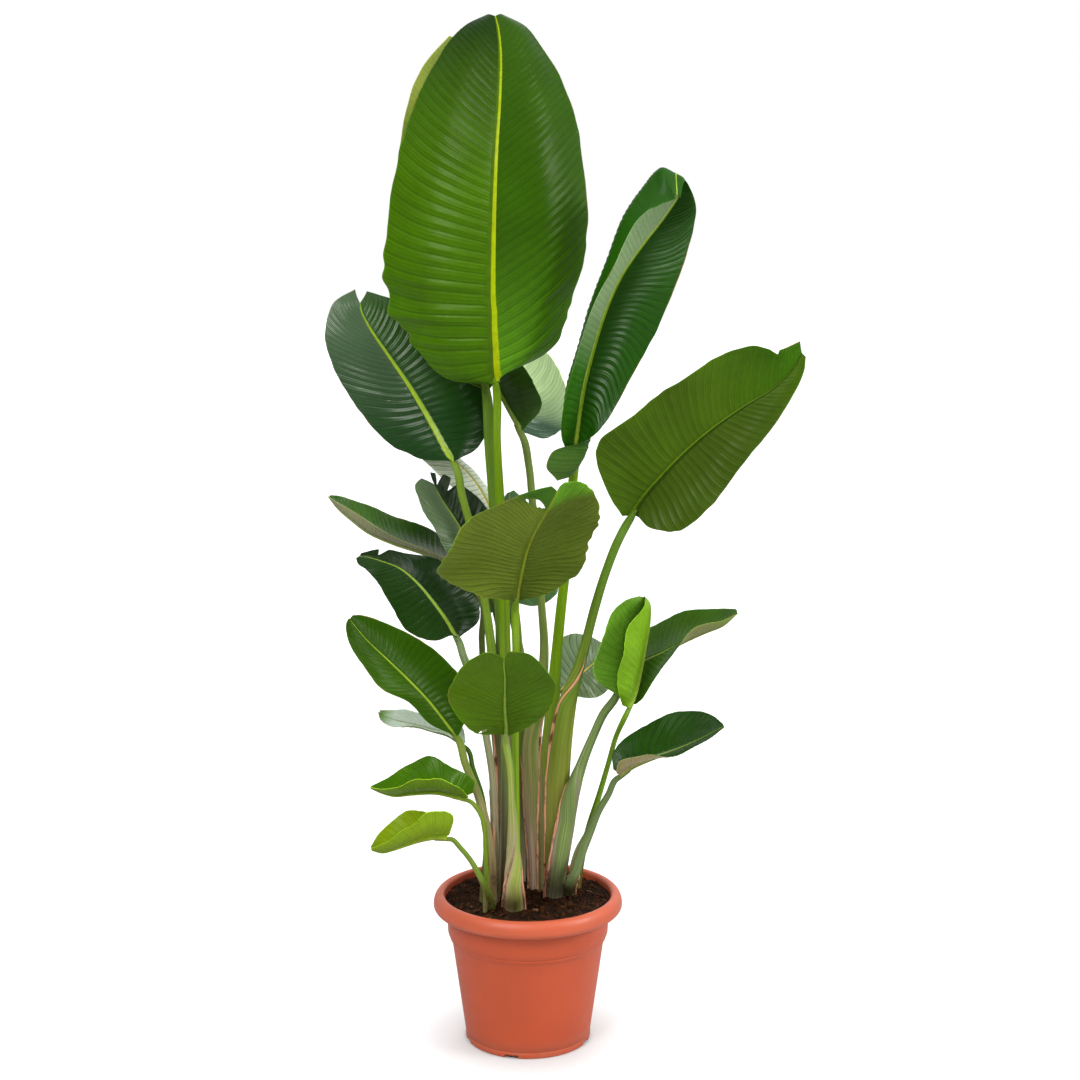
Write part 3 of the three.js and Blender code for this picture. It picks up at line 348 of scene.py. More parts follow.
# %% Leaf left_back
add_leaf(
    "left_back",
    rib=[[496, 520, 88], [484, 495, 108], [470, 475, 124], [452, 458, 138], [434, 446, 148],
         [420, 438, 156]],
    left=[[493, 521, 88], [476, 504, 96], [451, 487, 108], [430, 467, 124], [414, 448, 140],
          [418, 440, 154]],
    right=[[500, 518, 92], [493, 496, 116], [480, 477, 138], [461, 458, 152], [443, 443, 158],
           [422, 436, 160]],
    stalk=[[497, 523, 88, 7], [508, 570, 88, 8], [516, 620, 88, 9], [519, 690, 86, 10],
           [520, 760, 80, 13]],
    # The pale silvery face is painted sheen over a darker green.
    foot=[519, 882, 15], slot="leaf_dark", face=["#c2cab4", "#adb79e"], back="#6a7f4c",
    ridge=["#c0b13a", "#b0a23a"], gloss=0.24, wax=0.4, crease=1.0, pitch=7.0, pleat=3.0, swell=4,
    stem="#6d8030", violet=0.9,
)

# %% Leaf left_middle
add_leaf(
    "left_middle",
    rib=[[457, 638, -6], [447, 620, -14], [434, 602, -20], [418, 583, -24], [400, 568, -26],
         [382, 561, -26], [368, 557, -24], [359, 556, -22]],
    left=[[452, 635, -7], [433, 641, -24], [408, 632, -32], [391, 606, -34], [377, 582, -36],
          [366, 570, -42], [358, 564, -34], [356, 558, -26]],
    right=[[461, 636, -2], [479, 621, 22], [478, 600, 34], [460, 576, 40], [430, 557, 38],
           [398, 551, 28], [378, 549, 12], [361, 553, -10]],
    stalk=[[457, 641, -6, 8], [463, 655, -8, 8], [471, 675, -12, 9], [480, 705, -18, 8.5],
           [487.3, 742, -26, 7.5], [492.5, 778, -30, 7], [494, 810, -31, 8]],
    # The right half's darker green is painted shade.
    foot=[495, 901, 10], slot="leaf_dark", face=["#183409", "#0e2606"], back="#2c4a18",
    ridge=["#8ca832", "#7c9a2c"], rib_reach=[0.65, 0.9], gloss=0.26, wax=0.18, pitch=8.0,
    pleat=[1.4, 1.7], cuts=[[1, 0.86, 0.45, 0.03]], swell=[-6, -8], stem="#66804a",
    sheath=["#8f936c", "#8f7f60", 0.3], violet=1.0, margins=[[30, 20, 0.6, 3.0]],
)

# %% Leaf left_bright
add_leaf(
    "left_bright",
    rib=[[456, 736, -54], [444, 720, -64], [428, 700, -72], [408, 679, -80], [386, 658, -86],
         [367, 640, -90], [355, 626, -92], [350, 619, -92]],
    left=[[451, 734, -58], [430, 724, -86], [409, 703, -102], [381, 688, -112], [359, 661, -114],
          [348, 638, -110], [346, 624, -102], [349, 618, -94]],
    right=[[459, 735, -53], [466, 718, -46], [468, 692, -46], [448, 661, -52], [417, 638, -60],
           [384, 622, -70], [362, 615, -80], [353, 615, -86]],
    stalk=[[456, 739, -54, 8], [465, 763, -50, 8], [475, 787, -46, 8], [483, 812, -47, 9],
           [489, 845, -52, 10]],
    foot=[492, 906, 10], slot="leaf_bright", face=["#2c4e02", "#254603"], back="#57782a",
    ridge=["#9ab434", "#86a42c"], rib_reach=[0.5, 0.9], gloss=0.3, wax=0.12, pitch=8.0,
    pleat=[1.0, 1.3], swell=[-5, -8], stem="#6c8c1a", sheath=["#7f8c40", "#a07f5c", 0.22],
    violet=0.9, margins=[[185, 175, 0.62, 4.0]],
)

# %% Leaf left_small
add_leaf(
    "left_small",
    rib=[[464, 744, -28], [450, 734, -30], [432, 729, -34], [413, 724, -38], [396, 720, -42],
         [385, 716, -44], [380, 712, -46]],
    left=[[462, 744, -30], [446, 734, -46], [428, 729, -56], [408, 726, -66], [391, 727, -70],
          [381, 720, -64], [378, 712, -50]],
    right=[[466, 742, -24], [462, 727, -2], [442, 716, 6], [418, 711, 2], [398, 709, -6],
           [387, 710, -20], [380, 710, -40]],
    stalk=[[464, 747, -28, 5], [473, 768, -32, 5], [482, 795, -40, 5], [486, 825, -44, 6]],
    # The pale silvery face is painted sheen; the green far end (face_tip) is the leaf's own colour.
    foot=[483, 903, 8], slot="leaf_dark", face=["#b0bfae", "#a1b09d"],
    face_tip=["#5c8a2a", "#5c8a2a", 0.75, 0.9], back="#5f8030", ridge="#98a668", gloss=0.24,
    wax=0.3, pitch=7.0, pleat=0.9, swell=[-8, -6], stem="#3f6414", violet=0.5,
)

# %% Leaf left_creased
add_leaf(
    "left_creased",
    rib=[[464, 797, -74], [451, 794, -76], [434, 791.5, -78], [412, 793, -80], [394, 795, -82],
         [381, 792, -84], [371, 788, -86]],
    left=[[469, 797, -80], [459, 787, -100], [441, 780, -110], [419, 779, -112], [398, 786, -106],
          [383, 789, -96], [370, 787, -89]],
    right=[[473, 793, -70], [474, 780, -68], [453, 767, -56], [428, 756, -38], [403, 768, -40],
           [385, 779, -62], [371, 786, -82]],
    stalk=[[467, 799, -74, 5], [476, 807, -78, 5], [483, 820, -82, 5], [486, 850, -82, 6]],
    foot=[486, 912, 7], slot="leaf_bright", face=["#98bc08", "#375f02"], back="#698a26",
    ridge="#93a63a", gloss=0.28, wax=0.14, pitch=7.0, pleat=0.9, swell=[-8, -6], stem="#7a922a",
    violet=0.9,
)

# %% Leaf left_lowest
add_leaf(
    "left_lowest",
    rib=[[446, 836, -116], [434, 836, -120], [420, 839, -124], [406, 844, -128], [393, 849, -132],
         [382, 852, -134], [372, 850, -136]],
    left=[[450, 833, -120], [453, 816, -146], [436, 810, -158], [418, 819, -162], [400, 832, -160],
          [384, 843, -152], [371, 848, -140]],
    right=[[447, 832, -112], [444, 820, -92], [430, 812, -82], [410, 811, -84], [393, 820, -94],
           [379, 833, -112], [371, 846, -132]],
    stalk=[[450, 839, -114, 6], [460, 847, -110, 6], [470, 859, -105, 6], [480, 876, -100, 7]],
    foot=[491, 909, 9], slot="leaf_bright", face=["#627c0a", "#6c8404"], back="#7c9a1c",
    ridge="#98aa3a", gloss=0.32, wax=0.14, pitch=6.5, pleat=0.8, swell=[-10, -8], stem="#7a9630",
    sheath=["#7a9630", "#8a9a50", 0.1], violet=0.4,
)

# %% Leaf right_folded
add_leaf(
    "right_folded",
    rib=[[627, 707, -22], [634, 692, -14], [640, 668, -8], [645, 643, -6], [649, 619, -8],
         [649, 604, -14], [644, 597, -20]],
    left=[[616, 694, -26], [599, 683, -44], [593, 670, -48], [600, 643, -48], [612, 614, -44],
          [626, 600, -36], [639, 596, -24]],
    right=[[622, 705, -28], [618, 690, -52], [620, 664, -64], [624, 640, -66], [634, 619, -60],
           [644, 606, -44], [645, 598, -24]],
    stalk=[[625.5, 710, -22, 6], [616.5, 735, -10, 5.5], [607.8, 765, 0, 5.5], [599, 795, 2, 6],
           [589.5, 825, 2, 7]],
    foot=[577, 888, 8], slot="leaf_bright", face="#5a8822", back="#6c961c", ridge="#93a840",
    gloss=0.3, wax=0.14, pitch=7.5, pleat=1.0, swell=[6, -14], stem="#6f961c", violet=0.4,
)

# %% Leaf right_middle
add_leaf(
    "right_middle",
    rib=[[617, 693, 12], [627, 676, 16], [641, 662, 14], [662, 652, 6], [684, 641, -2],
         [705, 632, -10], [723, 625, -16], [737, 613, -20]],
    left=[[613, 689, 16], [618, 662, 50], [632, 640, 66], [650, 627, 68], [674, 614, 60],
          [698, 610, 44], [720, 608, 22], [736, 609, -8]],
    right=[[621, 698, 8], [636, 704, -10], [652, 684, -22], [669, 660, -30], [688, 632, -42],
           [706, 624, -42], [723, 620, -38], [738, 613, -26]],
    stalk=[[617, 697, 10, 9], [604, 713, 4, 9], [593.5, 735, -10, 9], [582, 763, -28, 11],
           [571.5, 795, -44, 17], [565, 825, -50, 20.5], [559.5, 855, -51, 21.5]],
    foot=[553.5, 897, 22], slot="leaf_dark", face="#33560a", back="#868a52",
    back_tip=["#6c8a2c", "#6c8a2c", 0.75, 0.95], ridge="#7f9340", gloss=0.27, wax=0.07, pitch=7.5,
    pleat=1.2, swell=-6, stem="#4c6a34", sheath=["#74864a", "#8a7a72", 0.12], violet=0.8,
    margins=[[150, 150, 0.36, 5.5], [70, 95, 0.88, 9.0]],
)

# %% Leaf right_low
add_leaf(
    "right_low",
    rib=[[619, 774, -42], [633, 765, -44], [650, 758, -46], [668, 752, -48], [688, 744, -52],
         [707, 735, -56], [724, 726, -60]],
    left=[[613, 769, -38], [613, 752, -22], [635, 730, -4], [665, 716, 4], [693, 710, -4],
          [712, 715, -24], [722, 723, -54]],
    right=[[616, 772, -50], [620, 761, -74], [644, 755, -84], [668, 757, -84], [690, 749, -80],
           [709, 739, -74], [723, 728, -64]],
    stalk=[[619, 777, -42, 7], [608.5, 794, -44, 7], [597.8, 812, -47, 8], [589.8, 831, -50, 9.5],
           [580.7, 851, -53, 12.5], [574, 873, -54, 12.5]],
    foot=[570, 895, 11], slot="leaf_dark", face="#193d03", back="#9a9060", ridge="#7f9a38",
    gloss=0.25, wax=0.22, pitch=7.5, pleat=1.2, swell=[-6, -10], stem="#56703a",
    sheath=["#6c7f4c", "#8f8468", 0.08], violet=0.4, margins=[[158, 160, 0.5, 4.2]],
)

# %% Leaf back_right
add_leaf(
    "back_right",
    rib=[[560, 690, 64], [574, 680, 92], [588, 668, 120], [600, 658, 142], [610, 650, 158]],
    left=[[557, 688, 66], [556, 660, 104], [563, 637, 136], [584, 634, 154], [603, 643, 160]],
    right=[[563, 692, 64], [578, 697, 82], [599, 697, 104], [612, 684, 130], [615, 662, 154]],
    stalk=[[559, 695, 66, 7], [554, 730, 68, 8], [551, 780, 68, 11]],
    # The grey-green face is partly the leaf's own green and partly painted silvery sheen.
    foot=[551, 883, 14], slot="leaf_dark", face=["#5f7350", "#54683f"], back="#6a7f4c",
    ridge="#b5b04a", gloss=0.26, wax=0.25, crease=1.2, pitch=8.0, pleat=2.2, swell=6,
    stem="#5f7a28", violet=0.8,
)

# %% Leaf back_centre
add_leaf(
    "back_centre",
    rib=[[512, 602, 104], [512, 588, 118], [511, 565, 136], [510, 535, 158], [510, 510, 176],
         [510, 492, 188]],
    left=[[508, 603, 104], [488, 613, 106], [475, 590, 122], [480, 545, 154], [495, 510, 178],
          [507, 493, 190]],
    right=[[516, 603, 104], [536, 606, 106], [557, 594, 122], [556, 550, 154], [535, 510, 178],
           [514, 490, 190]],
    stalk=[[512, 606, 106, 7], [520, 650, 106, 8], [528, 710, 104, 9], [533, 780, 94, 12]],
    foot=[533, 878, 15], slot="leaf_dark", face="#3f5f34", back="#647a4c", ridge="#8d9c58",
    gloss=0.28, wax=0.3, pitch=8.0, pleat=1.3, swell=6, stem="#5f7a28", violet=0.9,
)
print(f"{len(LEAVES)} leaves")

# %% [markdown]
# ## Smooth curves
# A Hermite curve passes through its points and needs only a slope at each. The knots are spaced by
# the real distance between stations, so the curve doesn't overshoot where two stations are close.

# %% Curves through stations
SHORTEST = 1e-6


def slopes_at(points, knots):
    """The slope at each point of a curve, from the steps before and after it."""
    gaps = np.diff(knots)
    steps = np.diff(points, axis=0) / gaps[:, None]
    share = (gaps[1:] / (gaps[1:] + gaps[:-1]))[:, None]
    inner = steps[:-1] * share + steps[1:] * (1 - share)
    return np.concatenate([steps[:1], inner, steps[-1:]])


def hermite(start, end, leave, arrive, width, part):
    """Points between start and end, part of the way along."""
    cubic = 2 * part**3 - 3 * part**2
    near = start * (cubic + 1) + leave * (part**3 - 2 * part**2 + part) * width
    return near - end * cubic + arrive * (part**3 - part**2) * width


def curve_at(points, knots, places):
    """Points of a smooth curve at places between the first and the last knot."""
    slopes = slopes_at(points, knots)
    i = np.searchsorted(knots[1:-1], places, side="left")
    width = (knots[i + 1] - knots[i])[:, None]
    part = (places - knots[i])[:, None] / width
    return hermite(points[i], points[i + 1], slopes[i], slopes[i + 1], width, part)


def knots_for(lines, power):
    """Knots from 0 to 1, spaced by how far apart the stations of all the lines are."""
    spans = sum(np.linalg.norm(np.diff(line, axis=0), axis=1) for line in lines)
    knots = np.concatenate([[0], np.cumsum(np.maximum(spans, SHORTEST) ** power)])
    return knots / knots[-1]


rib_line = np.array([seen(*p) for p in LEAVES["tall_front"]["rib"]])
halfway = curve_at(rib_line, knots_for([rib_line], 1), np.array([0.5]))[0]
print("the tallest rib is halfway at", halfway.round(1), "mm")


# %% Curves across a leaf
NEARLY_NOTHING = 1e-9


def through_three(points, shares):
    """Points at shares of the way along one curve through three points in each row."""
    legs = np.maximum(np.linalg.norm(np.diff(points, axis=1), axis=2), SHORTEST)
    knot = (legs[:, :1] / legs.sum(axis=1, keepdims=True))[..., None]
    first, middle, last = (points[:, i, None] for i in range(3))
    into = (middle - first) / knot
    out = (last - middle) / (1 - knot)
    turn = into * (1 - knot) + out * knot
    part = shares[..., None]
    near = hermite(first, middle, into, turn, knot, part / knot)
    far = hermite(middle, last, turn, out, 1 - knot, (part - knot) / (1 - knot))
    return np.where(part <= knot, near, far)


def unit(vectors):
    """Vectors of length one, the same way."""
    return vectors / np.maximum(np.linalg.norm(vectors, axis=-1, keepdims=True), NEARLY_NOTHING)


def smooth(low, high, values):
    """0 below low and 1 above high, with a soft ramp between."""
    part = np.clip((values - low) / (high - low), 0, 1)
    return part * part * (3 - 2 * part)


print("a soft ramp from 0 to 1:", smooth(0, 1, np.linspace(0, 1, 5)))

# %% [markdown]
# ## Meshes from rings and grids
# Every form here is a grid of points: rows along a blade, rings round a stalk, or the pot's
# outline turned round its axis. Two helpers cover them all. One makes the faces of a grid, the
# other makes an object and turns its faces outwards. Values that the materials read later, such as
# how near a point is to the rib, are stored on the points as named attributes.

# %% Mesh helpers
def grid_faces(rows, columns, closed=False):
    """Four-sided faces between the points of a grid; closed joins the last column to the first."""
    i, j = np.meshgrid(np.arange(rows - 1), np.arange(columns - (not closed)), indexing="ij")
    after = (j + 1) % columns
    here, ahead = i * columns, (i + 1) * columns
    corners = [here + j, here + after, ahead + after, ahead + j]
    return np.stack([corner.ravel() for corner in corners], axis=1)


def cap_faces(start, count):
    """A ladder of faces across a ring with an even number of points."""
    k = np.arange(count // 2 - 1)
    return start + np.stack([k, k + 1, count - 2 - k, count - 1 - k], axis=1)


def tube(rings):
    """Points and faces of a closed tube through rings of equal, even length."""
    rows, count = rings.shape[:2]
    faces = [grid_faces(rows, count, closed=True), cap_faces(0, count)[:, ::-1]]
    faces.append(cap_faces((rows - 1) * count, count))
    return rings.reshape(-1, 3), np.concatenate(faces)


print("faces of a grid of 3 by 4 points:", len(grid_faces(3, 4)))


# %% From points to a piece
def volume_of(points, faces):
    """The space that four-sided faces close in, below nothing if they face inwards."""
    a, b, c, d = (points[faces[:, i]] for i in range(4))
    return np.einsum("ij,ij->i", a, np.cross(b, c) + np.cross(c, d)).sum() / 6


def make_piece(name, points, faces, materials, slots=None, values=None):
    """An object from points in millimetres, its faces turned outwards."""
    if volume_of(points, faces) < 0:
        faces = faces[:, ::-1]
    mesh = bpy.data.meshes.new(name)
    mesh.from_pydata((points * MM).tolist(), [], faces.tolist())
    for material in materials:
        mesh.materials.append(material)
    if slots is not None:
        mesh.polygons.foreach_set("material_index", slots.astype(np.int32))
    for key, numbers in (values or {}).items():
        mesh.attributes.new(key, "FLOAT", "POINT").data.foreach_set("value", numbers.ravel())
    mesh.polygons.foreach_set("use_smooth", np.ones(len(faces), bool))
    mesh.update()
    piece = bpy.data.objects.new(name, mesh)
    bpy.context.scene.collection.objects.link(piece)
    return piece


def place_piece(piece, slot, *nodes):
    """Rides on the plant and hides the solids it replaces; slot is not used."""
    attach(piece, "root")
    if nodes:
        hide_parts(*nodes)
    return piece


print(f"one unit in a mesh is {1 / MM:.0f} mm")

# %% [markdown]
# ## Shader helpers
# A material is a small network of nodes. Writing each node by hand takes many lines, so one helper
# adds a node, sets its options, and fills or links its inputs. Colours are written as a painter
# would pick them on a screen, and turned into the linear values that Blender mixes.

# %% Node helpers
def colour(code, light=1.0):
    """A linear colour from a screen colour such as '#4d8a14', made lighter or darker."""
    parts = [int(code[i:i + 2], 16) / 255 for i in (1, 3, 5)]
    linear = [p / 12.92 if p <= 0.04045 else ((p + 0.055) / 1.055) ** 2.4 for p in parts]
    return [min(1.0, p * light) for p in linear] + [1.0]


def node(tree, kind, inputs=(), **options):
    """Adds a node, sets its options, and fills or links its inputs."""
    made = tree.nodes.new(kind)
    for key, value in options.items():
        setattr(made, key, value)
    for key, value in dict(inputs).items():
        if isinstance(value, bpy.types.NodeSocket):
            tree.links.new(value, made.inputs[key])
        else:
            made.inputs[key].default_value = value
    return made


print("a leaf green as linear light:", [round(part, 3) for part in colour("#4d8a14")])


# %% Sums, mixes and ramps
def math_node(tree, operation, first, second=0.0):
    """One sum on two numbers or sockets."""
    return node(tree, "ShaderNodeMath", {0: first, 1: second}, operation=operation).outputs[0]


def times(tree, first, second):
    """Two numbers or sockets multiplied."""
    return math_node(tree, "MULTIPLY", first, second)


def plus(tree, first, second):
    """Two numbers or sockets added."""
    return math_node(tree, "ADD", first, second)


def mix_colour(tree, factor, first, second, blend="MIX"):
    """The first colour where the factor is 0 and the second where it is 1."""
    inputs = {0: factor, 6: first, 7: second}
    return node(tree, "ShaderNodeMix", inputs, data_type="RGBA", blend_type=blend).outputs[2]


def ramp(tree, value, low, high, start=0.0, end=1.0):
    """Maps a value from one range to another, held at both ends."""
    inputs = {"Value": value, "From Min": low, "From Max": high, "To Min": start, "To Max": end}
    return node(tree, "ShaderNodeMapRange", inputs).outputs[0]


def attribute(tree, name):
    """A value that was stored on the points of the mesh."""
    return node(tree, "ShaderNodeAttribute", attribute_name=name).outputs["Fac"]


print("a ramp holds its value at both ends")


# %% Groups and materials
SKIN_BUMP = 0.0004


def new_group(name, inputs, outputs):
    """An empty node group with named inputs (and their usual values) and outputs."""
    group = bpy.data.node_groups.new(name, "ShaderNodeTree")
    for key, value in inputs.items():
        kind = "NodeSocketVector" if isinstance(value, tuple) else "NodeSocketFloat"
        group.interface.new_socket(key, in_out="INPUT", socket_type=kind).default_value = value
    for key in outputs:
        group.interface.new_socket(key, in_out="OUTPUT", socket_type="NodeSocketFloat")
    start = group.nodes.new("NodeGroupInput")
    end = group.nodes.new("NodeGroupOutput")
    return group, start.outputs, end.inputs


def use_group(tree, group, inputs):
    """A group placed in a material, with its own values."""
    return node(tree, "ShaderNodeGroup", inputs, node_tree=group).outputs


def new_material(name):
    """An empty material and its nodes."""
    material = bpy.data.materials.new(name)
    material.use_nodes = True
    tree = material.node_tree
    tree.nodes.clear()
    return material, tree


def finish_surface(tree, base, roughness, height, depth, strength=1.0, **fixed):
    """A Principled surface with a bump, from a colour, a roughness and a height."""
    inputs = {"Height": height, "Distance": depth, "Strength": strength}
    bump = node(tree, "ShaderNodeBump", inputs)
    inputs = {"Base Color": base, "Roughness": roughness, "Normal": bump.outputs[0]}
    inputs.update({key.replace("_", " "): value for key, value in fixed.items()})
    surface = node(tree, "ShaderNodeBsdfPrincipled", inputs)
    node(tree, "ShaderNodeOutputMaterial", {"Surface": surface.outputs[0]})
    return surface


print("a finish is a colour, a roughness and a bump")

# %% [markdown]
# ## Effects that several finishes share
# Living tissue and moulded plastic alike are never one even colour. The mottle group gives soft
# clouds at a chosen size. The fibres group gives fine lines that run along a stalk or a dried
# edge. The veins group draws the fine parallel veins between the pleats of a blade. Each is a node
# group, so a finish sets only its numbers.

# %% Clouds
CLOUD_EDGES = (0.3, 0.7)
GRAIN_FINER = 9.0


def make_mottle():
    """Soft clouds: Cloud is 0 to 1, Grain is a finer version of it."""
    group, start, end = new_group("mottle", {"Size": 30.0, "Seed": 0.0}, ["Cloud", "Grain"])
    place = node(group, "ShaderNodeTexCoord").outputs["Object"]
    finer = times(group, start["Size"], GRAIN_FINER)
    for name, size, detail, rough in (("Cloud", start["Size"], 3.0, 0.55),
                                      ("Grain", finer, 4.0, 0.6)):
        inputs = {"Vector": place, "W": start["Seed"], "Scale": size, "Detail": detail,
                  "Roughness": rough}
        clouds = node(group, "ShaderNodeTexNoise", inputs, noise_dimensions="4D")
        group.links.new(ramp(group, clouds.outputs[0], *CLOUD_EDGES), end[name])
    return group


MOTTLE = make_mottle()


def mottle(tree, size, seed):
    """The clouds and the grain, finer with a larger size."""
    return use_group(tree, MOTTLE, {"Size": size, "Seed": seed})


print("shared effect:", MOTTLE.name)

# %% Fibres
FIBRE_EDGES = (0.35, 0.65)


def make_fibres():
    """Lines along a piece: Around counts across them, Along runs with them."""
    inputs = {"Around": 0.0, "Along": 0.0, "Count": 40.0, "Length": 4.0}
    group, start, end = new_group("fibres", inputs, ["Line", "Band"])
    across = times(group, start["Around"], start["Count"])
    along = times(group, start["Along"], start["Length"])
    place = node(group, "ShaderNodeCombineXYZ", {"X": across, "Y": along}).outputs[0]
    for name, scale in (("Line", 1.0), ("Band", 0.18)):
        lines = node(group, "ShaderNodeTexNoise", {"Vector": place, "Scale": scale, "Detail": 2.0})
        group.links.new(ramp(group, lines.outputs[0], *FIBRE_EDGES), end[name])
    return group


FIBRES = make_fibres()


def fibres(tree, count, length):
    """The fibres of a tube, from the values stored on its points."""
    inputs = {"Around": attribute(tree, "around"), "Along": attribute(tree, "along"),
              "Count": count, "Length": length}
    return use_group(tree, FIBRES, inputs)


print("shared effect:", FIBRES.name)

# %% Veins
CREASE_HALF = 0.13
LINE_FROM = 0.55


def make_veins():
    """Fine veins between the main ones: Height for a bump, Line and Crease as masks."""
    group, start, end = new_group("veins", {"Vein": 0.0, "Across": 0.0, "Finer": 3.0},
                                  ["Height", "Line", "Crease"])
    place = node(group, "ShaderNodeCombineXYZ", {"X": start["Vein"], "Y": start["Across"]})
    inputs = {"Vector": place.outputs[0], "Scale": 2.0, "Detail": 2.0}
    drift = node(group, "ShaderNodeTexNoise", inputs).outputs[0]
    moved = plus(group, times(group, start["Vein"], start["Finer"]), drift)
    wave = math_node(group, "COSINE", times(group, moved, 2 * math.pi))
    uneven = ramp(group, drift, *CLOUD_EDGES, 0.3, 1.0)
    main = math_node(group, "PINGPONG", start["Vein"], 0.5)
    group.links.new(times(group, ramp(group, wave, -1.0, 1.0), uneven), end["Height"])
    group.links.new(times(group, ramp(group, wave, LINE_FROM, 1.0), uneven), end["Line"])
    # Crease marks the main veins, where the finish darkens the colour as painted shade.
    group.links.new(ramp(group, main, 0.0, CREASE_HALF, 1.0, 0.0), end["Crease"])
    return group


VEINS = make_veins()
print("shared effect:", VEINS.name)

# %% [markdown]
# ## The finish of a blade
# A blade has a waxy upper side and a duller under side. Both show the same veins, so one function
# makes both finishes. Its layers, from the bottom up: cloudy green, the greens of the two halves and
# of the far end, which on several leaves also hold painted sheen, painted glow and painted shade,
# painted shade in the creases at the main veins, hair-fine paler veins, the rib, whose two colours
# on some leaves are its painted lit side and painted shaded side, and the thin pale edge that dries
# to brown here and there. The gloss itself comes from the shader: the wax reflects whatever stands
# round the plant, and so it changes with the side you look from. The wax has a faint tint of its
# own, which keeps the shine on a dark old leaf cool and on a young leaf warm.

# %% Greens of the two halves
HALF_BLUR = 0.01
UNDER_SIDE = {"crease": 0.6, "wax": 0.7, "gloss": 0.1}
WAX_TINTS = {"leaf_bright": (0.8, 1.0, 0.4, 1), "leaf_olive": (0.85, 1.0, 0.5, 1),
             "leaf_dark": (0.93, 1.0, 0.85, 1)}


def both(value):
    """One value for each half of a leaf; a single value counts for both."""
    return value if isinstance(value, list) else [value, value]


def shade(tree, base, factor, share, light):
    """A colour made lighter or darker by a share of the factor."""
    return mix_colour(tree, times(tree, factor, share), base, [light] * 3 + [1], "MULTIPLY")


def pair(tree, half, tones):
    """The left half's colour and the right half's colour, joined at the rib."""
    left, right = both(tones)[:2]
    return mix_colour(tree, half, colour(left), colour(right))


def blade_tone(tree, half, tones, tips):
    """The leaf's greens, and those of its far end where it has any."""
    # On several leaves these greens hold painted sheen, painted glow and painted shade.
    base = pair(tree, half, tones)
    if tips:
        place = attribute(tree, "place")
        spans = {0: half, 2: ramp(tree, place, *tips[2:4]), 3: ramp(tree, place, *tips[-2:])}
        far = node(tree, "ShaderNodeMix", spans).outputs[0]
        base = mix_colour(tree, far, base, pair(tree, half, tips))
    return base


print("kinds of leaf:", ", ".join(WAX_TINTS))

# %% Painted layers of a blade
CLOUD_LIGHT, GRAIN_LIGHT, CREASE_SHADE, LINE_LIGHT = 1.3, 0.6, 0.45, 1.9
GRAIN_SHARE = LINE_SHARE = 0.3
RIB_GRAIN_LIGHT = 0.72
EDGE_POWER = 1.5
EDGE_LIGHT = 2.1
DRY_TONE = "#8a6a34"
DRY_CLOUDS = (0.62, 0.8)


def blade_colours(tree, leaf, key, ridge, crease, rib, half, veins, clouds):
    """The painted layers of a blade, from its greens up to the dried edge."""
    base = blade_tone(tree, half, leaf[key], leaf.get(f"{key}_tip"))
    # Clouds and grain are the leaf's own uneven tone; the crease layer is painted shade in the
    # creases at the main veins.
    for mask, share, light in ((clouds["Cloud"], 1.0, CLOUD_LIGHT),
                               (clouds["Grain"], GRAIN_SHARE, GRAIN_LIGHT),
                               (veins["Crease"], crease, CREASE_SHADE),
                               (veins["Line"], LINE_SHARE, LINE_LIGHT)):
        base = shade(tree, base, mask, share, light)
    # On tall_front and centre_front the two rib colours are painted light and painted shade on the
    # rib's two sides.
    rib_tone = shade(tree, pair(tree, half, ridge), clouds["Grain"], 1.0, RIB_GRAIN_LIGHT)
    base = mix_colour(tree, rib, base, rib_tone)
    edge = math_node(tree, "POWER", attribute(tree, "edge"), EDGE_POWER)
    base = shade(tree, base, edge, 1.0, EDGE_LIGHT)
    dried = times(tree, edge, ramp(tree, clouds["Cloud"], *DRY_CLOUDS))
    return mix_colour(tree, dried, base, colour(DRY_TONE))


print(f"edges are {EDGE_LIGHT} times as light as the blade")

# %% The whole finish of a blade
CLOUD_SIZE = 11.0
RIB_BLUR = 0.09
RIB_ROUGHER = 0.08
GLOSS_SPREAD = (-0.02, 0.05)


def blade_finish(name, leaf, back, seed):
    """The finish of one face of a blade. Back is 1 for its under side and 0 for its upper side."""
    material, tree = new_material(name)
    key, ridge = (("face", leaf["ridge"]), ("back", leaf.get("keel", leaf["ridge"])))[back]
    crease = leaf["crease"] * (1, UNDER_SIDE["crease"])[back]
    wax = leaf["wax"] * (1, UNDER_SIDE["wax"])[back]
    gloss = leaf["gloss"] + (0, UNDER_SIDE["gloss"])[back]
    side = attribute(tree, "side")
    half = ramp(tree, side, -HALF_BLUR, HALF_BLUR)
    veins = use_group(tree, VEINS, {"Vein": attribute(tree, "vein"), "Across": side})
    clouds = mottle(tree, CLOUD_SIZE, seed)
    reach = leaf["rib_reach"][back]
    rib = ramp(tree, attribute(tree, "reach"), reach + RIB_BLUR, reach - RIB_BLUR)
    base = blade_colours(tree, leaf, key, ridge, crease, rib, half, veins, clouds)
    rough = ramp(tree, clouds["Grain"], 0.0, 1.0, *(gloss + spread for spread in GLOSS_SPREAD))
    rough = plus(tree, rough, times(tree, rib, RIB_ROUGHER))
    height = plus(tree, veins["Height"], times(tree, clouds["Grain"], 0.1))
    height = times(tree, height, math_node(tree, "SUBTRACT", 1.0, rib))
    finish_surface(tree, base, rough, height, SKIN_BUMP, 0.8, Coat_Weight=wax / 2,
                   Coat_Roughness=0.2, Specular_IOR_Level=wax,
                   Specular_Tint=WAX_TINTS[leaf["slot"]])
    return material


print(f"the rib is {RIB_ROUGHER} rougher than the blade")

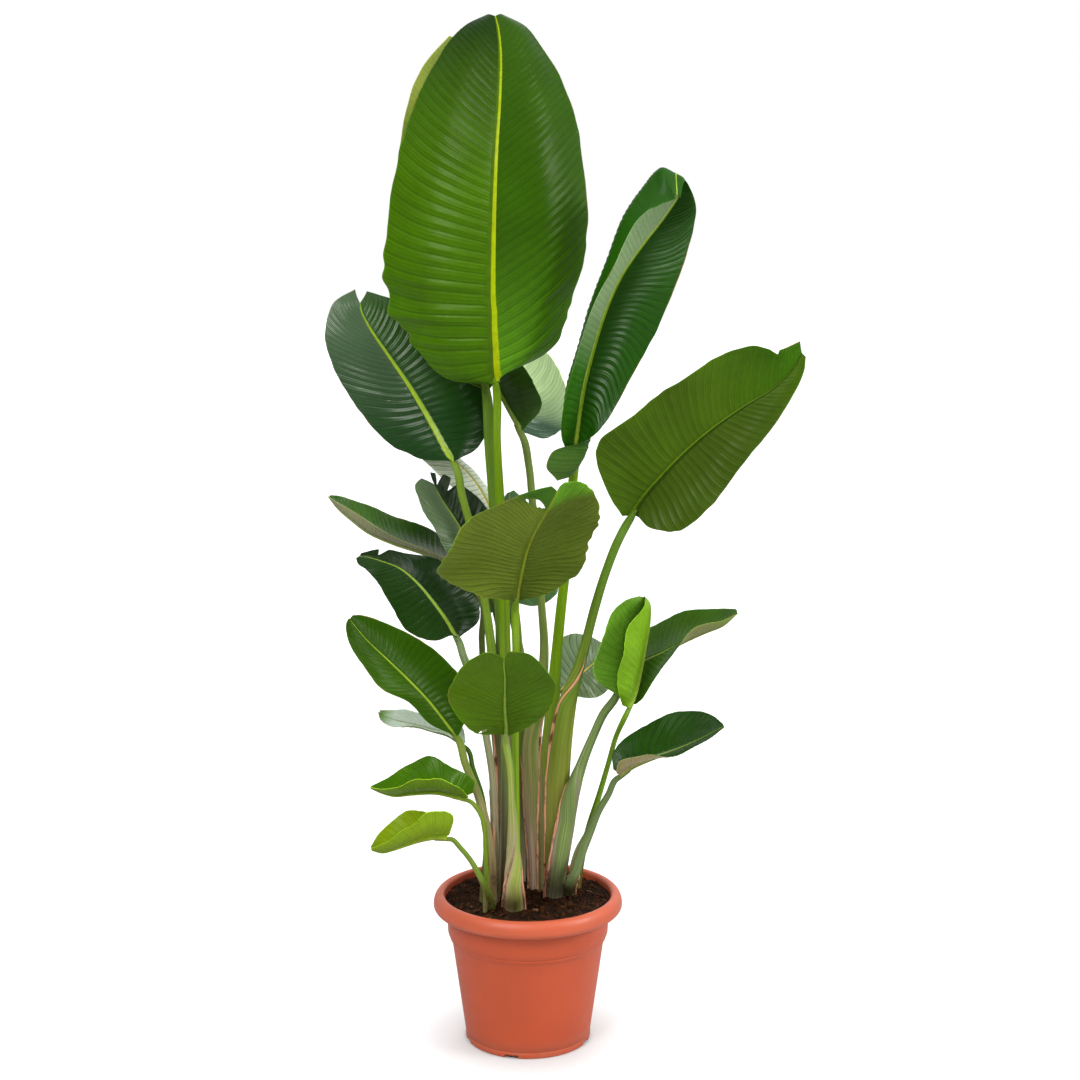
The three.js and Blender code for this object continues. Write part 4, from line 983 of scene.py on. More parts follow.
# %% [markdown]
# ## The form of a blade
# Each half of a blade has its own way of facing, because many leaves are folded along the rib. The
# rows start from the same stations as the solids. On top of that come the things a solid is too
# coarse for: a rounded pleat between each pair of main veins, a slow swell and ruffle, a raised
# rib with a rounded keel under it, and an edge that thins out.

# %% Rows of a blade
STATION_POWER = 0.6
NUDGE = 1e-3


def blade_lines(leaf):
    """The blade's own lines from one edge to the other, in millimetres."""
    keys = ["left", "left_fold", "rib", "right_fold", "right"]
    return [np.array([seen(*p) for p in leaf[key]]) for key in keys if key in leaf]


def facing(start, end, along, leaf):
    """The way a half faces, square to its rib and to the line across it."""
    face = unit(np.cross(unit(end - start), along))
    return -face if leaf["underside"] else face


def blade_rows(leaf, places):
    """Both halves of each row from rib to edge, how they face, and the rib."""
    lines = blade_lines(leaf)
    knots = knots_for(lines, STATION_POWER)
    middle = len(lines) // 2
    rows = np.stack([curve_at(line, knots, places) for line in lines], axis=1)
    ahead = curve_at(lines[middle], knots, np.minimum(places + NUDGE, 1))
    along = unit(ahead - curve_at(lines[middle], knots, np.maximum(places - NUDGE, 0)))
    sides = [facing(rows[:, 0], rows[:, middle], along, leaf)]
    sides.append(facing(rows[:, middle], rows[:, -1], along, leaf))
    halves = [rows[:, middle::-1], rows[:, middle:]]
    for side, half in enumerate(halves):
        if half.shape[1] == 2:
            wide = np.linalg.norm(half[:, 1] - half[:, 0], axis=1, keepdims=True)
            lift = half.mean(axis=1) + sides[side] * wide * both(leaf["swell"])[side] / 100
            halves[side] = np.stack([half[:, 0], lift, half[:, 1]], axis=1)
    return halves, sides, rows[:, middle]


neck, tip = blade_rows(LEAVES["tall_front"], np.array([0.0, 1.0]))[2]
print(f"the tallest blade runs from {neck[2]:.0f} to {tip[2]:.0f} mm above the floor")


# %% Which way a grid faces
def grid_normals(points, turn):
    """The way each point of a grid faces, from its neighbours."""
    padded = np.pad(points, ((1, 1), (1, 1), (0, 0)), mode="edge")
    across = padded[1:-1, 2:] - padded[1:-1, :-2]
    along = padded[2:, 1:-1] - padded[:-2, 1:-1]
    return unit(np.cross(across, along)) * turn


sample = np.array([[[x, y, 0.0] for x in range(3)] for y in range(3)])
print("a flat grid faces", grid_normals(sample, 1)[1, 1])

# %% [markdown]
# The main veins leave the rib almost at a right angle and bend towards the tip near the edge.
# Their number at any point, counted from the neck, drives both the pleats here and the fine veins
# in the finish, so the two always agree.

# %% Veins, pleats and edge of one half
CROWDING = 0.5
VEIN_HOOK = 0.06
DRIFT_LENGTH = 31
DRIFT_ALONG, DRIFT_ACROSS = 1.6, 1.2
PLEAT_MEAN, PLEAT_SPREAD = 0.65, 0.35
PLEAT_FADE_IN = (0.0, 0.14)
PLEAT_FADE_OUT = (0.72, 1.0)
EDGE_FLATTER = 0.75
NIBBLE = 0.006


def vein_numbers(leaf, side, length, wide, shares, phase):
    """How many main veins a point is from the neck. They stand closer towards the tip."""
    part = (length / length[-1])[:, None]
    near, more, power = leaf["lean"][side]
    lean = near + more * part**power
    forward = length[:, None] - wide[:, None] * (lean * shares + VEIN_HOOK * shares**3)
    drift = np.sin(length[:, None] / DRIFT_LENGTH + phase * 6) * DRIFT_ALONG
    drift = drift + np.sin(shares * 5 + phase * 9) * DRIFT_ACROSS
    part = (forward + drift) / length[-1]
    return (part + CROWDING / 2 * (part**2 - part)) * length[-1] / leaf["pitch"]


def pleat_heights(leaf, side, veins, shares, phase):
    """Rounded pleats between the main veins, uneven as they are on a real leaf."""
    part = veins - np.floor(veins)
    hump = 1 - np.abs(2 * part - 1) ** 2
    uneven = PLEAT_MEAN + PLEAT_SPREAD * np.sin(np.floor(veins) * 2.4 + phase * 20)
    fade = smooth(*PLEAT_FADE_IN, shares) * (1 - EDGE_FLATTER * smooth(*PLEAT_FADE_OUT, shares))
    return (hump - 0.5) * uneven * fade * both(leaf["pleat"])[side]


def edge_shares(leaf, side, places, phase):
    """How much of its width each row keeps, with scallops, cuts and small nibbles."""
    kept = 1 - NIBBLE * (1 + np.sin(places * 61 + phase * 7) * np.sin(places * 23 + phase * 3))
    size, reach = leaf["scallops"][side]
    wave = 1 + np.sin(places * 87 + phase * 5 + 2 * np.sin(places * 29))
    kept -= size / 2 * wave * np.exp(-places / reach)
    for where, place, depth, width in leaf["cuts"]:
        if where == side:
            kept -= depth * np.maximum(0, 1 - np.abs(places - place) / width)
    return kept


nibbled = edge_shares(LEAVES["right_wide"], 0, np.linspace(0, 1, 200), 0)
print(f"an edge keeps {nibbled.min():.2f} to {nibbled.max():.2f} of its width")

# %% The groove along the rib
RIB_HALF_WIDTH = (5.5, 0.9)
GROOVE_AT_TIP = 0.35
SHOULDER_HIGH, SHOULDER_AT, SHOULDER_WIDE = 0.5, 1.05, 0.22


def taper(sizes, places):
    """A size that changes evenly from the neck to the tip."""
    return sizes[0] + (sizes[1] - sizes[0]) * places


def groove_heights(leaf, places, from_rib):
    """The channel along the rib, with a soft shoulder on either side."""
    depth = taper((1, GROOVE_AT_TIP), places)[:, None]
    channel = -leaf["groove"] * (1 - smooth(0.0, 0.95, from_rib))
    shoulder = SHOULDER_HIGH * np.exp(-(((from_rib - SHOULDER_AT) / SHOULDER_WIDE) ** 2))
    return (channel + shoulder) * depth


print("the rib is {:.0f} mm wide at the neck and {:.1f} mm at the tip".format(
    *(2 * half for half in RIB_HALF_WIDTH)))

# %% One half as a grid
RIB_MOST = 0.3
RIB_COLUMNS = 6
RIB_MARGIN = 1.25
EDGE_CROWDING = 1.15
EDGE_BAND = (1.5, 0.3)
EDGE_WAVE = 2.2
RUFFLE_LENGTH = 17
SWELL = 0.9
SWELL_LENGTH = 37
FULL_WIDTH = 60


def half_grid(leaf, side, half, face, places, length, columns, wave, phase):
    """The upper face of one half as rows of points from the rib's side to the edge."""
    wide = np.linalg.norm(half[:, -1] - half[:, 0], axis=1)
    rib = taper(RIB_HALF_WIDTH, places) * leaf["rib_size"]
    rib_share = np.minimum(RIB_MOST, rib / np.maximum(wide, 1))
    inner = np.arange(1, RIB_COLUMNS + 1) / RIB_COLUMNS * RIB_MARGIN
    outer = 1 - (1 - np.arange(1, columns + 1) / columns) ** EDGE_CROWDING
    start = rib_share[:, None] * RIB_MARGIN
    shares = np.concatenate([rib_share[:, None] * inner, start * (1 - outer) + outer], axis=1)
    kept = edge_shares(leaf, side, places, phase)
    base = through_three(half, shares * kept[:, None])
    ease = (np.minimum(1, wide / FULL_WIDTH) * np.sin(np.pi * places))[:, None]
    turns, start = wave
    sway = np.sin(2 * np.pi * (turns * places[:, None] + start)) * EDGE_WAVE * shares**2
    rippled = np.sin(length[:, None] / RUFFLE_LENGTH + 5 * phase + 2 * shares)
    ruffle = leaf["ruffle"] * shares**3 * rippled
    swell = SWELL * np.sin(length[:, None] / SWELL_LENGTH + 9 * phase) * np.sin(np.pi * shares)
    veins = vein_numbers(leaf, side, length, wide, shares, phase)
    pleats = pleat_heights(leaf, side, veins, shares, phase) * np.minimum(1, ease * 2.5)
    base = base + (face[:, None] * ((sway + ruffle + swell) * ease)[..., None])
    from_rib = shares / rib_share[:, None]
    hollow = groove_heights(leaf, places, from_rib)
    points = base + face[:, None] * (pleats + hollow)[..., None]
    edge = smooth(*EDGE_BAND, (1 - shares) * wide[:, None])
    return {"base": base, "upper": points, "side": shares, "vein": veins, "hollow": hollow,
            "edge": edge, "reach": from_rib, "place": places[:, None] + 0 * shares}


print(f"{RIB_COLUMNS} columns of points cross each side of the rib")

# %% [markdown]
# The two halves share the rib's own row of points. The under side is the upper side moved back
# along the way the smooth form faces, by the leaf's thickness, or by the keel's round section at
# the rib.

# %% Both halves of a blade
ROW_STEP = 1.45
ROWS_PER_PLEAT = 8
SPARE_ROWS = 20
COLUMN_STEP = 3.2
COLUMNS = (10, 30)


def seeded(seed):
    """The same run of numbers from 0 to 1 that the solids were made with."""
    state = seed * 7919 + 17
    while True:
        state = state * 48271 % 2147483647
        yield state / 2147483647


def joined(left, right, middle):
    """The left half's grid, the rib's own column and the right half's grid, as one grid."""
    return np.concatenate([left[:, ::-1], middle[:, None], right], axis=1)


def blade_grids(leaf, seed):
    """Every grid of a blade, from its left edge over the rib to its right edge."""
    numbers = seeded(seed)
    waves = [(2.5 + next(numbers) * 2, next(numbers)) for _ in range(2)]
    rib_line = np.array([seen(*p) for p in leaf["rib"]])
    rough_length = np.linalg.norm(np.diff(rib_line, axis=0), axis=1).sum()
    step = min(ROW_STEP, leaf["pitch"] / ROWS_PER_PLEAT)
    places = np.linspace(0, 1, int(rough_length / step) + SPARE_ROWS)
    halves, sides, rib = blade_rows(leaf, places)
    length = np.concatenate([[0], np.cumsum(np.linalg.norm(np.diff(rib, axis=0), axis=1))])
    grids = []
    for side in range(2):
        widest = np.linalg.norm(halves[side][:, -1] - halves[side][:, 0], axis=1).max()
        columns = int(np.clip(widest / COLUMN_STEP, *COLUMNS))
        phase = (seed * 0.37 + side * 0.51) % 1
        grids.append(half_grid(leaf, side, halves[side], sides[side], places, length,
                               columns, waves[side], phase))
    left, right = grids
    left["side"] = -left["side"]
    flat = np.zeros(len(places))
    hollow = groove_heights(leaf, places, flat[:, None])
    face = unit(sides[0] + sides[1])
    middle = {"base": rib, "upper": rib + face * hollow, "side": flat, "edge": flat,
              "vein": (left["vein"][:, 0] + right["vein"][:, 0]) / 2, "hollow": hollow[:, 0],
              "reach": flat, "place": places}
    return places, {key: joined(left[key], right[key], middle[key]) for key in middle}


shape = blade_grids(LEAVES["low_round"], 7)[1]["side"].shape
print(f"the low round blade has {shape[0]} rows of {shape[1]} points")

# %% Under side, rim and tears
LEAF_THICK = 0.9
EDGE_THICK = 0.35
THINS_FROM = 0.75
RIB_DEPTH = (7.0, 1.5)


def whole_cells(leaf, grids):
    """Which cells of the blade are there: a tear is open where it is wide enough."""
    place = (grids["place"][1:, 1:] + grids["place"][:-1, :-1]) / 2
    share = (grids["side"][1:, 1:] + grids["side"][:-1, :-1]) / 2
    kept = np.ones(place.shape, bool)
    for side, middle, width, start, end in leaf["tears"]:
        along = share * (1 if side else -1)
        opening = width * (1 - (2 * (along - start) / (end - start) - 1) ** 2)
        kept &= np.abs(place - middle) >= opening
    return kept


def blade_piece(place, leaf, seed):
    """The blade as one closed mesh with a face, a back and a keel."""
    places, grids = blade_grids(leaf, seed)
    normals = grid_normals(grids["base"], -1 if leaf["underside"] else 1)
    thinner = smooth(THINS_FROM, 1.0, np.abs(grids["side"]))
    thick = LEAF_THICK - (LEAF_THICK - EDGE_THICK) * thinner
    keel = taper(RIB_DEPTH, places)[:, None] * np.sqrt(np.clip(1 - grids["reach"] ** 2, 0, 1))
    thick = np.maximum(thick, keel + grids["hollow"])
    lower = grids["upper"] - normals * thick[..., None]
    values = {key: grids[key] for key in ("side", "vein", "reach", "edge", "place")}
    return join_sides(place, grids["upper"], lower, values, whole_cells(leaf, grids))


print(f"a blade is {LEAF_THICK} mm thick, and {EDGE_THICK} mm at its edge")


# %% Closing the mesh
def boundary(faces, count):
    """The edges that only one of the faces has, as pairs of points."""
    edges = np.concatenate([faces[:, [i, (i + 1) % 4]] for i in range(4)])
    forth, back = edges[:, 0] * count + edges[:, 1], edges[:, 1] * count + edges[:, 0]
    return edges[~np.isin(forth, back)]


def join_sides(place, upper, lower, values, kept):
    """Joins the upper and under faces round every edge into one closed mesh."""
    rows, columns = upper.shape[:2]
    count = rows * columns
    top = grid_faces(rows, columns)[kept.ravel()]
    rim = boundary(top, count)
    around = np.stack([rim[:, 1], rim[:, 0], rim[:, 0] + count, rim[:, 1] + count], axis=1)
    faces = np.concatenate([top, top[:, ::-1] + count, around])
    slots = np.repeat([0, 1, 0], [len(top), len(top), len(around)])
    used, faces = np.unique(faces, return_inverse=True)
    points = np.concatenate([upper.reshape(-1, 3), lower.reshape(-1, 3)])[used]
    values = {key: np.tile(grid.ravel(), 2)[used] for key, grid in values.items()}
    materials = [bpy.data.materials[f"{place}_face"], bpy.data.materials[f"{place}_back"]]
    return make_piece(f"leaf_{place}", points, faces.reshape(-1, 4), materials, slots, values)


print("edges of one face:", len(boundary(grid_faces(2, 2), 4)))

# %% Make the blades
for seed, (place, leaf) in enumerate(LEAVES.items(), start=1):
    blade_finish(f"{place}_face", leaf, 0, seed)
    blade_finish(f"{place}_back", leaf, 1, seed + 50)
    blade = blade_piece(place, leaf, seed)
    place_piece(blade, leaf["slot"], f"blade_{place}")
    print(f"{place}: {len(blade.data.polygons)} faces")

# %% [markdown]
# ## The finish of a stalk
# A stalk is bright green and smooth under its blade. Lower down it becomes a sheath, olive and
# then grey-violet, with fibres that show as fine lines, and near the soil it is scuffed and
# brownish. The colour follows the height above the soil, broken up by the fibres so that no level
# line shows. The sides of a sheath dry sooner than its middle, so the angle round the stalk shifts
# that height.

# %% Stalk finish
SHEATH_TONES = ("#84883a", "#8a7668", 0.21)
SHEATH_PALE = "#b9b09a"
SHEATH_BROWN = "#6e4a30"
FIBRE_LIGHTS = ((0.82, 1.18), (0.75, 1.2), (0.6, 1.2))
PALE_SHARE = 0.45
CLOUD_SHARE, CLOUD_DARK = 0.25, 0.6
STALK_GLOSS = (0.36, 0.52)
SHEATH_SPAN = (0.42, 0.16)
SCUFF_SPAN = (0.035, -0.005)
BAND_WANDER = 0.22
SIDES_DRY = 0.3


def sheath_level(tree, lines):
    """The height over the soil, uneven along the fibres and lower at the sides."""
    uneven = times(tree, math_node(tree, "SUBTRACT", lines["Band"], 0.5), BAND_WANDER)
    middle = math_node(tree, "PINGPONG", attribute(tree, "around"), 0.5)
    middle = times(tree, middle, SIDES_DRY)
    level = plus(tree, plus(tree, attribute(tree, "height"), uneven), middle)
    return math_node(tree, "SUBTRACT", level, SIDES_DRY / 4)


def stalk_finish(name, tone, sheath_tones, violet, seed):
    """Green under the blade, then the sheath's two colours, then brown scuffs at the soil."""
    material, tree = new_material(name)
    lines, clouds = fibres(tree, 26.0, 5.0), mottle(tree, 16.0, seed)
    level = sheath_level(tree, lines)
    upper, lower, start = sheath_tones
    green, olive, grey = (mix_colour(tree, lines["Line"], colour(own, dark), colour(own, light))
                          for own, (dark, light) in zip((tone, upper, lower), FIBRE_LIGHTS))
    grey = mix_colour(tree, times(tree, lines["Band"], PALE_SHARE), grey, colour(SHEATH_PALE))
    sheath = attribute(tree, "sheath")
    base = mix_colour(tree, times(tree, ramp(tree, level, *SHEATH_SPAN), sheath), green, olive)
    grey_part = times(tree, ramp(tree, level, start, start / 3, 0.0, violet), sheath)
    base = mix_colour(tree, grey_part, base, grey)
    scuff = times(tree, ramp(tree, level, *SCUFF_SPAN), clouds["Grain"])
    base = mix_colour(tree, scuff, base, colour(SHEATH_BROWN))
    cloudy = times(tree, clouds["Cloud"], CLOUD_SHARE)
    base = mix_colour(tree, cloudy, base, colour(tone, CLOUD_DARK))
    rough = ramp(tree, lines["Line"], 0.0, 1.0, *STALK_GLOSS)
    bump = plus(tree, lines["Line"], times(tree, clouds["Grain"], 0.4))
    finish_surface(tree, base, rough, bump, SKIN_BUMP, 0.7, Specular_IOR_Level=0.2)
    return material


print(f"a sheath turns from green to olive {SHEATH_SPAN[0]} m above the soil and below")

# %% [markdown]
# ## The form of a stalk
# The stalk is round with a shallow channel on its upper side, and it flattens as it becomes a
# sheath. Its middle line runs from inside the blade's keel down to the soil and on into it. The
# rings stand square to that line, and their points are found from an angle, so that the dried
# margins can be laid along the surface later with the same function.

# %% Middle line of a stalk
NECK_STRAIGHT = 9
NECK_DEPTH = 4.6
NECK_INSIDE = 16
NECK_WIDTHS = (0.85, 0.95)
TOP_WIDTH = 3.0
PLANTED = 56


def stalk_line(leaf):
    """The middle line of a stalk, its widths, and how the blade faces at the neck."""
    _, sides, rib = blade_rows(leaf, np.array([0.0, 0.04]))
    along = unit(rib[1] - rib[0])
    face = unit(sides[0][0] + sides[1][0])
    neck = rib[0] - face * NECK_DEPTH
    points = [neck + along * NECK_INSIDE - face * 1.5, neck, neck - along * NECK_STRAIGHT]
    wide = leaf["stalk"][0][3] * step_size(leaf["stalk"][0][2])
    widths = [TOP_WIDTH, *(wide * share for share in NECK_WIDTHS)]
    for across, down, depth, wide in leaf["stalk"][1:]:
        points.append(seen(across, down, depth))
        widths.append(wide * step_size(depth))
    foot = seen_on_soil(*leaf["foot"][:2])
    lean = unit(foot - points[-1])
    points += [foot, foot + np.array([lean[0] / 2, lean[1] / 2, -1]) * PLANTED]
    widths += [leaf["foot"][2] * step_size(foot[1])] * 2
    points = np.array(points)
    return points, np.array(widths), knots_for([points], 1), face


first_line = stalk_line(LEAVES["tall_front"])
print(f"the tallest stalk widens from {first_line[1][1]:.1f} to {first_line[1][-1]:.1f} mm")

# %% Surface of a stalk
SHEATH_HALF = (8, 14)
CHANNEL_DEPTH = 0.28
CHANNEL_ANGLE = 0.5
STALK_FLATNESS = 0.92
SHEATH_FLATTER = 0.24
SHEATH_BOXIER = 0.3


def on_stalk(line, places, angles, outside=0.0):
    """Points on a stalk's surface at places along it and angles round it."""
    points, widths, knots, face = line
    middle = curve_at(points, knots, places)
    ahead = curve_at(points, knots, np.minimum(places + 0.01, 1))
    along = unit(ahead - curve_at(points, knots, np.maximum(places - 0.01, 0)))
    right = np.array([1.0, 0, 0])
    across = unit(right - along * along[:, :1])
    depth = np.cross(along, across)
    half = curve_at(np.stack([widths] * 3, axis=1), knots, places)[:, :1] / 2
    sheath = np.clip((half - SHEATH_HALF[0]) / (SHEATH_HALF[1] - SHEATH_HALF[0]), 0, 1)
    turn = np.arctan2(depth @ face, across @ face)[:, None]
    wrapped = np.angle(np.exp(1j * angles))
    channel = 1 - CHANNEL_DEPTH * (1 - sheath) * np.exp(-((wrapped / CHANNEL_ANGLE) ** 2))
    a = half * channel + outside
    b = half * (STALK_FLATNESS - SHEATH_FLATTER * sheath) * channel + outside
    angle = angles + turn * (1 - sheath)
    rounded = np.sin(angle) * np.abs(np.sin(angle)) ** (SHEATH_BOXIER * sheath)
    spread = (a * np.cos(angle))[..., None] * across[:, None]
    return middle[:, None] + spread + (b * rounded)[..., None] * depth[:, None], sheath


_, sheathed = on_stalk(first_line, np.array([0.0, 1.0]), np.zeros((2, 1)))
print("how much of a sheath the top and the foot are:", sheathed.ravel().round(2))

# %% A stalk as a tube
STALK_SIDES = 40
STALK_STEP = 4.0
FLUTES = ((0.18, 9, 1), (0.12, 5, 2))


def stalk_piece(place, leaf, seed):
    """The stalk as a closed tube, and its middle line for the margins."""
    line = stalk_line(leaf)
    length = np.linalg.norm(np.diff(line[0], axis=0), axis=1).sum()
    places = np.linspace(0, 1, int(length / STALK_STEP) + 1)
    angles = np.linspace(0, 2 * np.pi, STALK_SIDES, endpoint=False)[None].repeat(len(places), 0)
    fluting = sum(high * np.sin(angles * count + shift * seed) for high, count, shift in FLUTES)
    rings, sheath = on_stalk(line, places, angles, fluting * smooth(0, 0.4, places)[:, None])
    points, faces = tube(rings)
    along = (places * length * MM)[:, None].repeat(STALK_SIDES, 1)
    around = np.abs(angles - np.pi) / np.pi + seed
    toned = np.maximum(sheath, smooth(0.5, 0.95, places)[:, None]).repeat(STALK_SIDES, 1)
    values = {"around": around, "along": along, "height": points[:, 2] * MM - SOIL_LINE * MM,
              "sheath": np.ones_like(toned) if "sheath" in leaf else toned}
    materials = [bpy.data.materials[f"{place}_stalk"]]
    return make_piece(f"stem_{place}", points, faces, materials, None, values), line


print(f"a stalk has a ring every {STALK_STEP:.0f} mm")

# %% [markdown]
# The margins of each sheath dry out first. Each is a thin papery strip that starts in a loose
# point and then follows the sheath down to the soil.

# %% Finish of the dried margins
PAPER_TONES = ("#c4764e", "#eab696")
PAPER_BROWN = "#6b3a22"
BROWN_CLOUDS = (0.6, 0.85)
PAPER_GLOSS = (0.5, 0.75)


def dry_finish():
    """Dried margins of the sheaths: salmon to brown, papery."""
    material, tree = new_material("dried_margin")
    lines, clouds = fibres(tree, 6.0, 30.0), mottle(tree, 40.0, 3.0)
    base = mix_colour(tree, lines["Line"], *(colour(tone) for tone in PAPER_TONES))
    brown = ramp(tree, clouds["Cloud"], *BROWN_CLOUDS)
    base = mix_colour(tree, brown, base, colour(PAPER_BROWN))
    rough = ramp(tree, clouds["Grain"], 0, 1, *PAPER_GLOSS)
    finish_surface(tree, base, rough, lines["Line"], SKIN_BUMP)
    return material


DRIED = dry_finish()
print("finish of the dried margins:", DRIED.name)

# %% Form of the dried margins
MARGIN_THICK = 2.4
MARGIN_RINGS = 70
MARGIN_SIDES = 8
LOOSE_LIFT = 1.6
LOOSE_SHARE = 0.12
SOIL_SHARE = 0.97


def margin_strip(line, top_angle, foot_angle, start, wide):
    """One dried margin as a closed strip laid along a stalk."""
    part = np.linspace(0, 1, MARGIN_RINGS)
    places = start + (SOIL_SHARE - start) * part
    angles = np.radians(top_angle + (foot_angle - top_angle) * part)[:, None]
    loose = LOOSE_LIFT * (1 - smooth(0.0, LOOSE_SHARE, part))
    lift = (loose + 0.25 + 0.3 * np.sin(part * 31) ** 2)[:, None]
    centre, _ = on_stalk(line, places, angles, lift)
    beside, _ = on_stalk(line, places, angles + 0.08, lift)
    core, _ = on_stalk(line, places, angles, lift - 3)
    sideways = unit(beside - centre)[:, 0]
    outward = unit(centre - core)[:, 0]
    full = smooth(0.0, 0.1, part) * (0.8 + 0.2 * np.sin(part * 23 + start * 40))
    turn = np.linspace(0, 2 * np.pi, MARGIN_SIDES, endpoint=False)
    flat = (np.cos(turn)[None] * (0.2 + full[:, None] * wide / 2))[..., None] * sideways[:, None]
    thin = np.sin(turn)[None, :, None] * (MARGIN_THICK / 2 * (0.3 + 0.7 * full))[:, None, None]
    return centre + flat + thin * outward[:, None]


def margin_piece(place, leaf, line):
    """All the dried margins of one sheath as one piece."""
    points, faces, around, along = [], [], [], []
    for top_angle, foot_angle, start, wide in leaf["margins"]:
        rings = margin_strip(line, top_angle, foot_angle, start, wide)
        shape, skin = tube(rings)
        faces.append(skin + sum(len(p) for p in points))
        points.append(shape)
        around.append(np.tile(np.linspace(0, 1, rings.shape[1]), rings.shape[0]))
        along.append(np.linspace(0, 0.4, rings.shape[0]).repeat(rings.shape[1]))
    values = {"around": np.concatenate(around), "along": np.concatenate(along)}
    return make_piece(f"margins_{place}", np.concatenate(points), np.concatenate(faces),
                      [DRIED], None, values)


print("dried margins:", sum(len(leaf["margins"]) for leaf in LEAVES.values()))

# %% Make the stalks and their margins
for seed, (place, leaf) in enumerate(LEAVES.items(), start=1):
    tones = leaf.get("sheath", SHEATH_TONES)
    stalk_finish(f"{place}_stalk", leaf["stem"], tones, leaf["violet"], seed)
    stem, line = stalk_piece(place, leaf, seed)
    place_piece(stem, "stalk_green", f"stalk_{place}")
    if leaf["margins"]:
        place_piece(margin_piece(place, leaf, line), "stalk_green")

# %% [markdown]
# ## The pot
# The pot is injection moulded: a tapered wall, a step that stiffens it, and a wide rolled rim to
# carry it by. Its outline is turned round the axis, with the round stretches as arcs. Six notches
# in the foot let water out. A boolean modifier cuts them, because a notch through a turned wall is
# exactly what it is good at, and it is applied at once so that the mesh is final.

# %% Pot outline
FOOT_RADIUS = 93.0
POT_FLOOR = 5.0
POT_SIDES = 192


def arc(centre, radii, start, end, count):
    """Points of an elliptic arc from one angle to another, in degrees."""
    angles = np.radians(np.linspace(start, end, count))
    return [(centre[0] + radii[0] * math.cos(turn), centre[1] + radii[1] * math.sin(turn))
            for turn in angles]


def pot_outline():
    """[radius, height] from the middle of the foot up the outside and down the inside."""
    wall = [(0.3, 0), (40, 0), (80, 0)]
    wall += arc((FOOT_RADIUS - 1.6, 1.6), (1.6, 1.6), -90, 0, 5)
    wall += [(FOOT_RADIUS + 0.4, 7.2), (FOOT_RADIUS + 0.2, 8.2), (FOOT_RADIUS - 0.5, 8.9)]
    wall += [(FOOT_RADIUS + x * 19.5, 9.5 + x * 141) for x in np.linspace(0, 1, 12)]
    wall += [(113.2, 152.4), (115.6, 156.2), (116.4, 158.4), (116.0, 159.0), (116.6, 159.8)]
    wall += [(118.0, 162.6), (118.8, 165.5), (119.6, 180), (120.4, 194), (120.8, 197.2)]
    wall += [(122.0, 198.0), (128.0, 198.1)]
    wall += arc((129.0, 207.5), (11.0, 9.4), -88, 0, 12)
    wall += arc((129.5, 207.5), (10.5, 17.4), 4, 90, 16)
    wall += arc((128.6, 219.5), (5.2, 5.3), 96, 178, 7)
    wall += [(123.0, 214), (122.2, 207), (118.8, 196), (117.2, 178), (115.9, 160), (109.6, 150.2)]
    wall += [(99, 77), (88.6, POT_FLOOR), (40, POT_FLOOR), (0.3, POT_FLOOR)]
    return np.array(wall)


def turned(outline, sides):
    """Points and faces of an outline turned round the vertical axis."""
    angles = np.linspace(0, 2 * np.pi, sides, endpoint=False)
    x = outline[:, :1] * np.cos(angles)
    y = outline[:, :1] * np.sin(angles)
    z = outline[:, 1:].repeat(sides, axis=1)
    return tube(np.stack([x, y, z], axis=2))


wall = pot_outline()
print(f"the pot is {2 * wall[:, 0].max():.0f} mm across and {wall[:, 1].max():.0f} mm high")

# %% [markdown]
# Moulded plastic of this kind has a satin skin with a faint leathery grain, paler where it has been
# handled, and a bloom of dust and soil splashes low down. The rim is painted a shade paler than the
# wall, as a painted highlight where the light falls on its round edge.

# %% Pot finish
POT_TONE = "#bf4c26"
POT_LIGHTS = (0.93, 1.06)
POT_GLOSS = (0.38, 0.48)
HANDLED_TONE = "#da7850"
HANDLED_SHARE = 0.1
DUST_TONE = "#a9806a"
DUST_SHARE = 0.35
# The rim's paler tone is a painted highlight.
RIM_HIGHLIGHT_TONE = "#d98a70"
RIM_HIGHLIGHT_SHARE = 0.14
RIM_HIGHLIGHT_FROM = (0.197, 0.199)
DUST_TO = 0.03


def pot_finish():
    """Satin plastic with a leathery grain, a painted highlight on the rim and a dusty foot."""
    material, tree = new_material("terracotta_plastic")
    clouds, fine = mottle(tree, 9.0, 2.0), mottle(tree, 160.0, 5.0)
    base = mix_colour(tree, clouds["Cloud"], *(colour(POT_TONE, light) for light in POT_LIGHTS))
    base = mix_colour(tree, times(tree, fine["Grain"], HANDLED_SHARE), base, colour(HANDLED_TONE))
    place = node(tree, "ShaderNodeTexCoord").outputs["Object"]
    height = node(tree, "ShaderNodeSeparateXYZ", {"Vector": place}).outputs["Z"]
    # Painted highlight on the rim.
    base = mix_colour(tree, ramp(tree, height, *RIM_HIGHLIGHT_FROM, 0.0, RIM_HIGHLIGHT_SHARE), base, colour(RIM_HIGHLIGHT_TONE))
    dust = times(tree, ramp(tree, height, DUST_TO, 0.0), clouds["Grain"])
    base = mix_colour(tree, times(tree, dust, DUST_SHARE), base, colour(DUST_TONE))
    rough = ramp(tree, clouds["Grain"], 0.0, 1.0, *POT_GLOSS)
    bump = plus(tree, fine["Cloud"], times(tree, fine["Grain"], 0.5))
    finish_surface(tree, base, rough, bump, 0.00012, 0.6)
    return material


plastic = pot_finish()
print("finish of the pot:", plastic.name)

# %% Drain notches
NOTCH_ANGLES = (-163, -105, -22, 37, 95, 153)
NOTCH_WIDTH = 20.0
NOTCH_HEIGHT = 4.2
NOTCH_REACH = (80, 104)
HOLE_REACH = (77, 85)
HOLE_HALF = NOTCH_WIDTH * 0.3


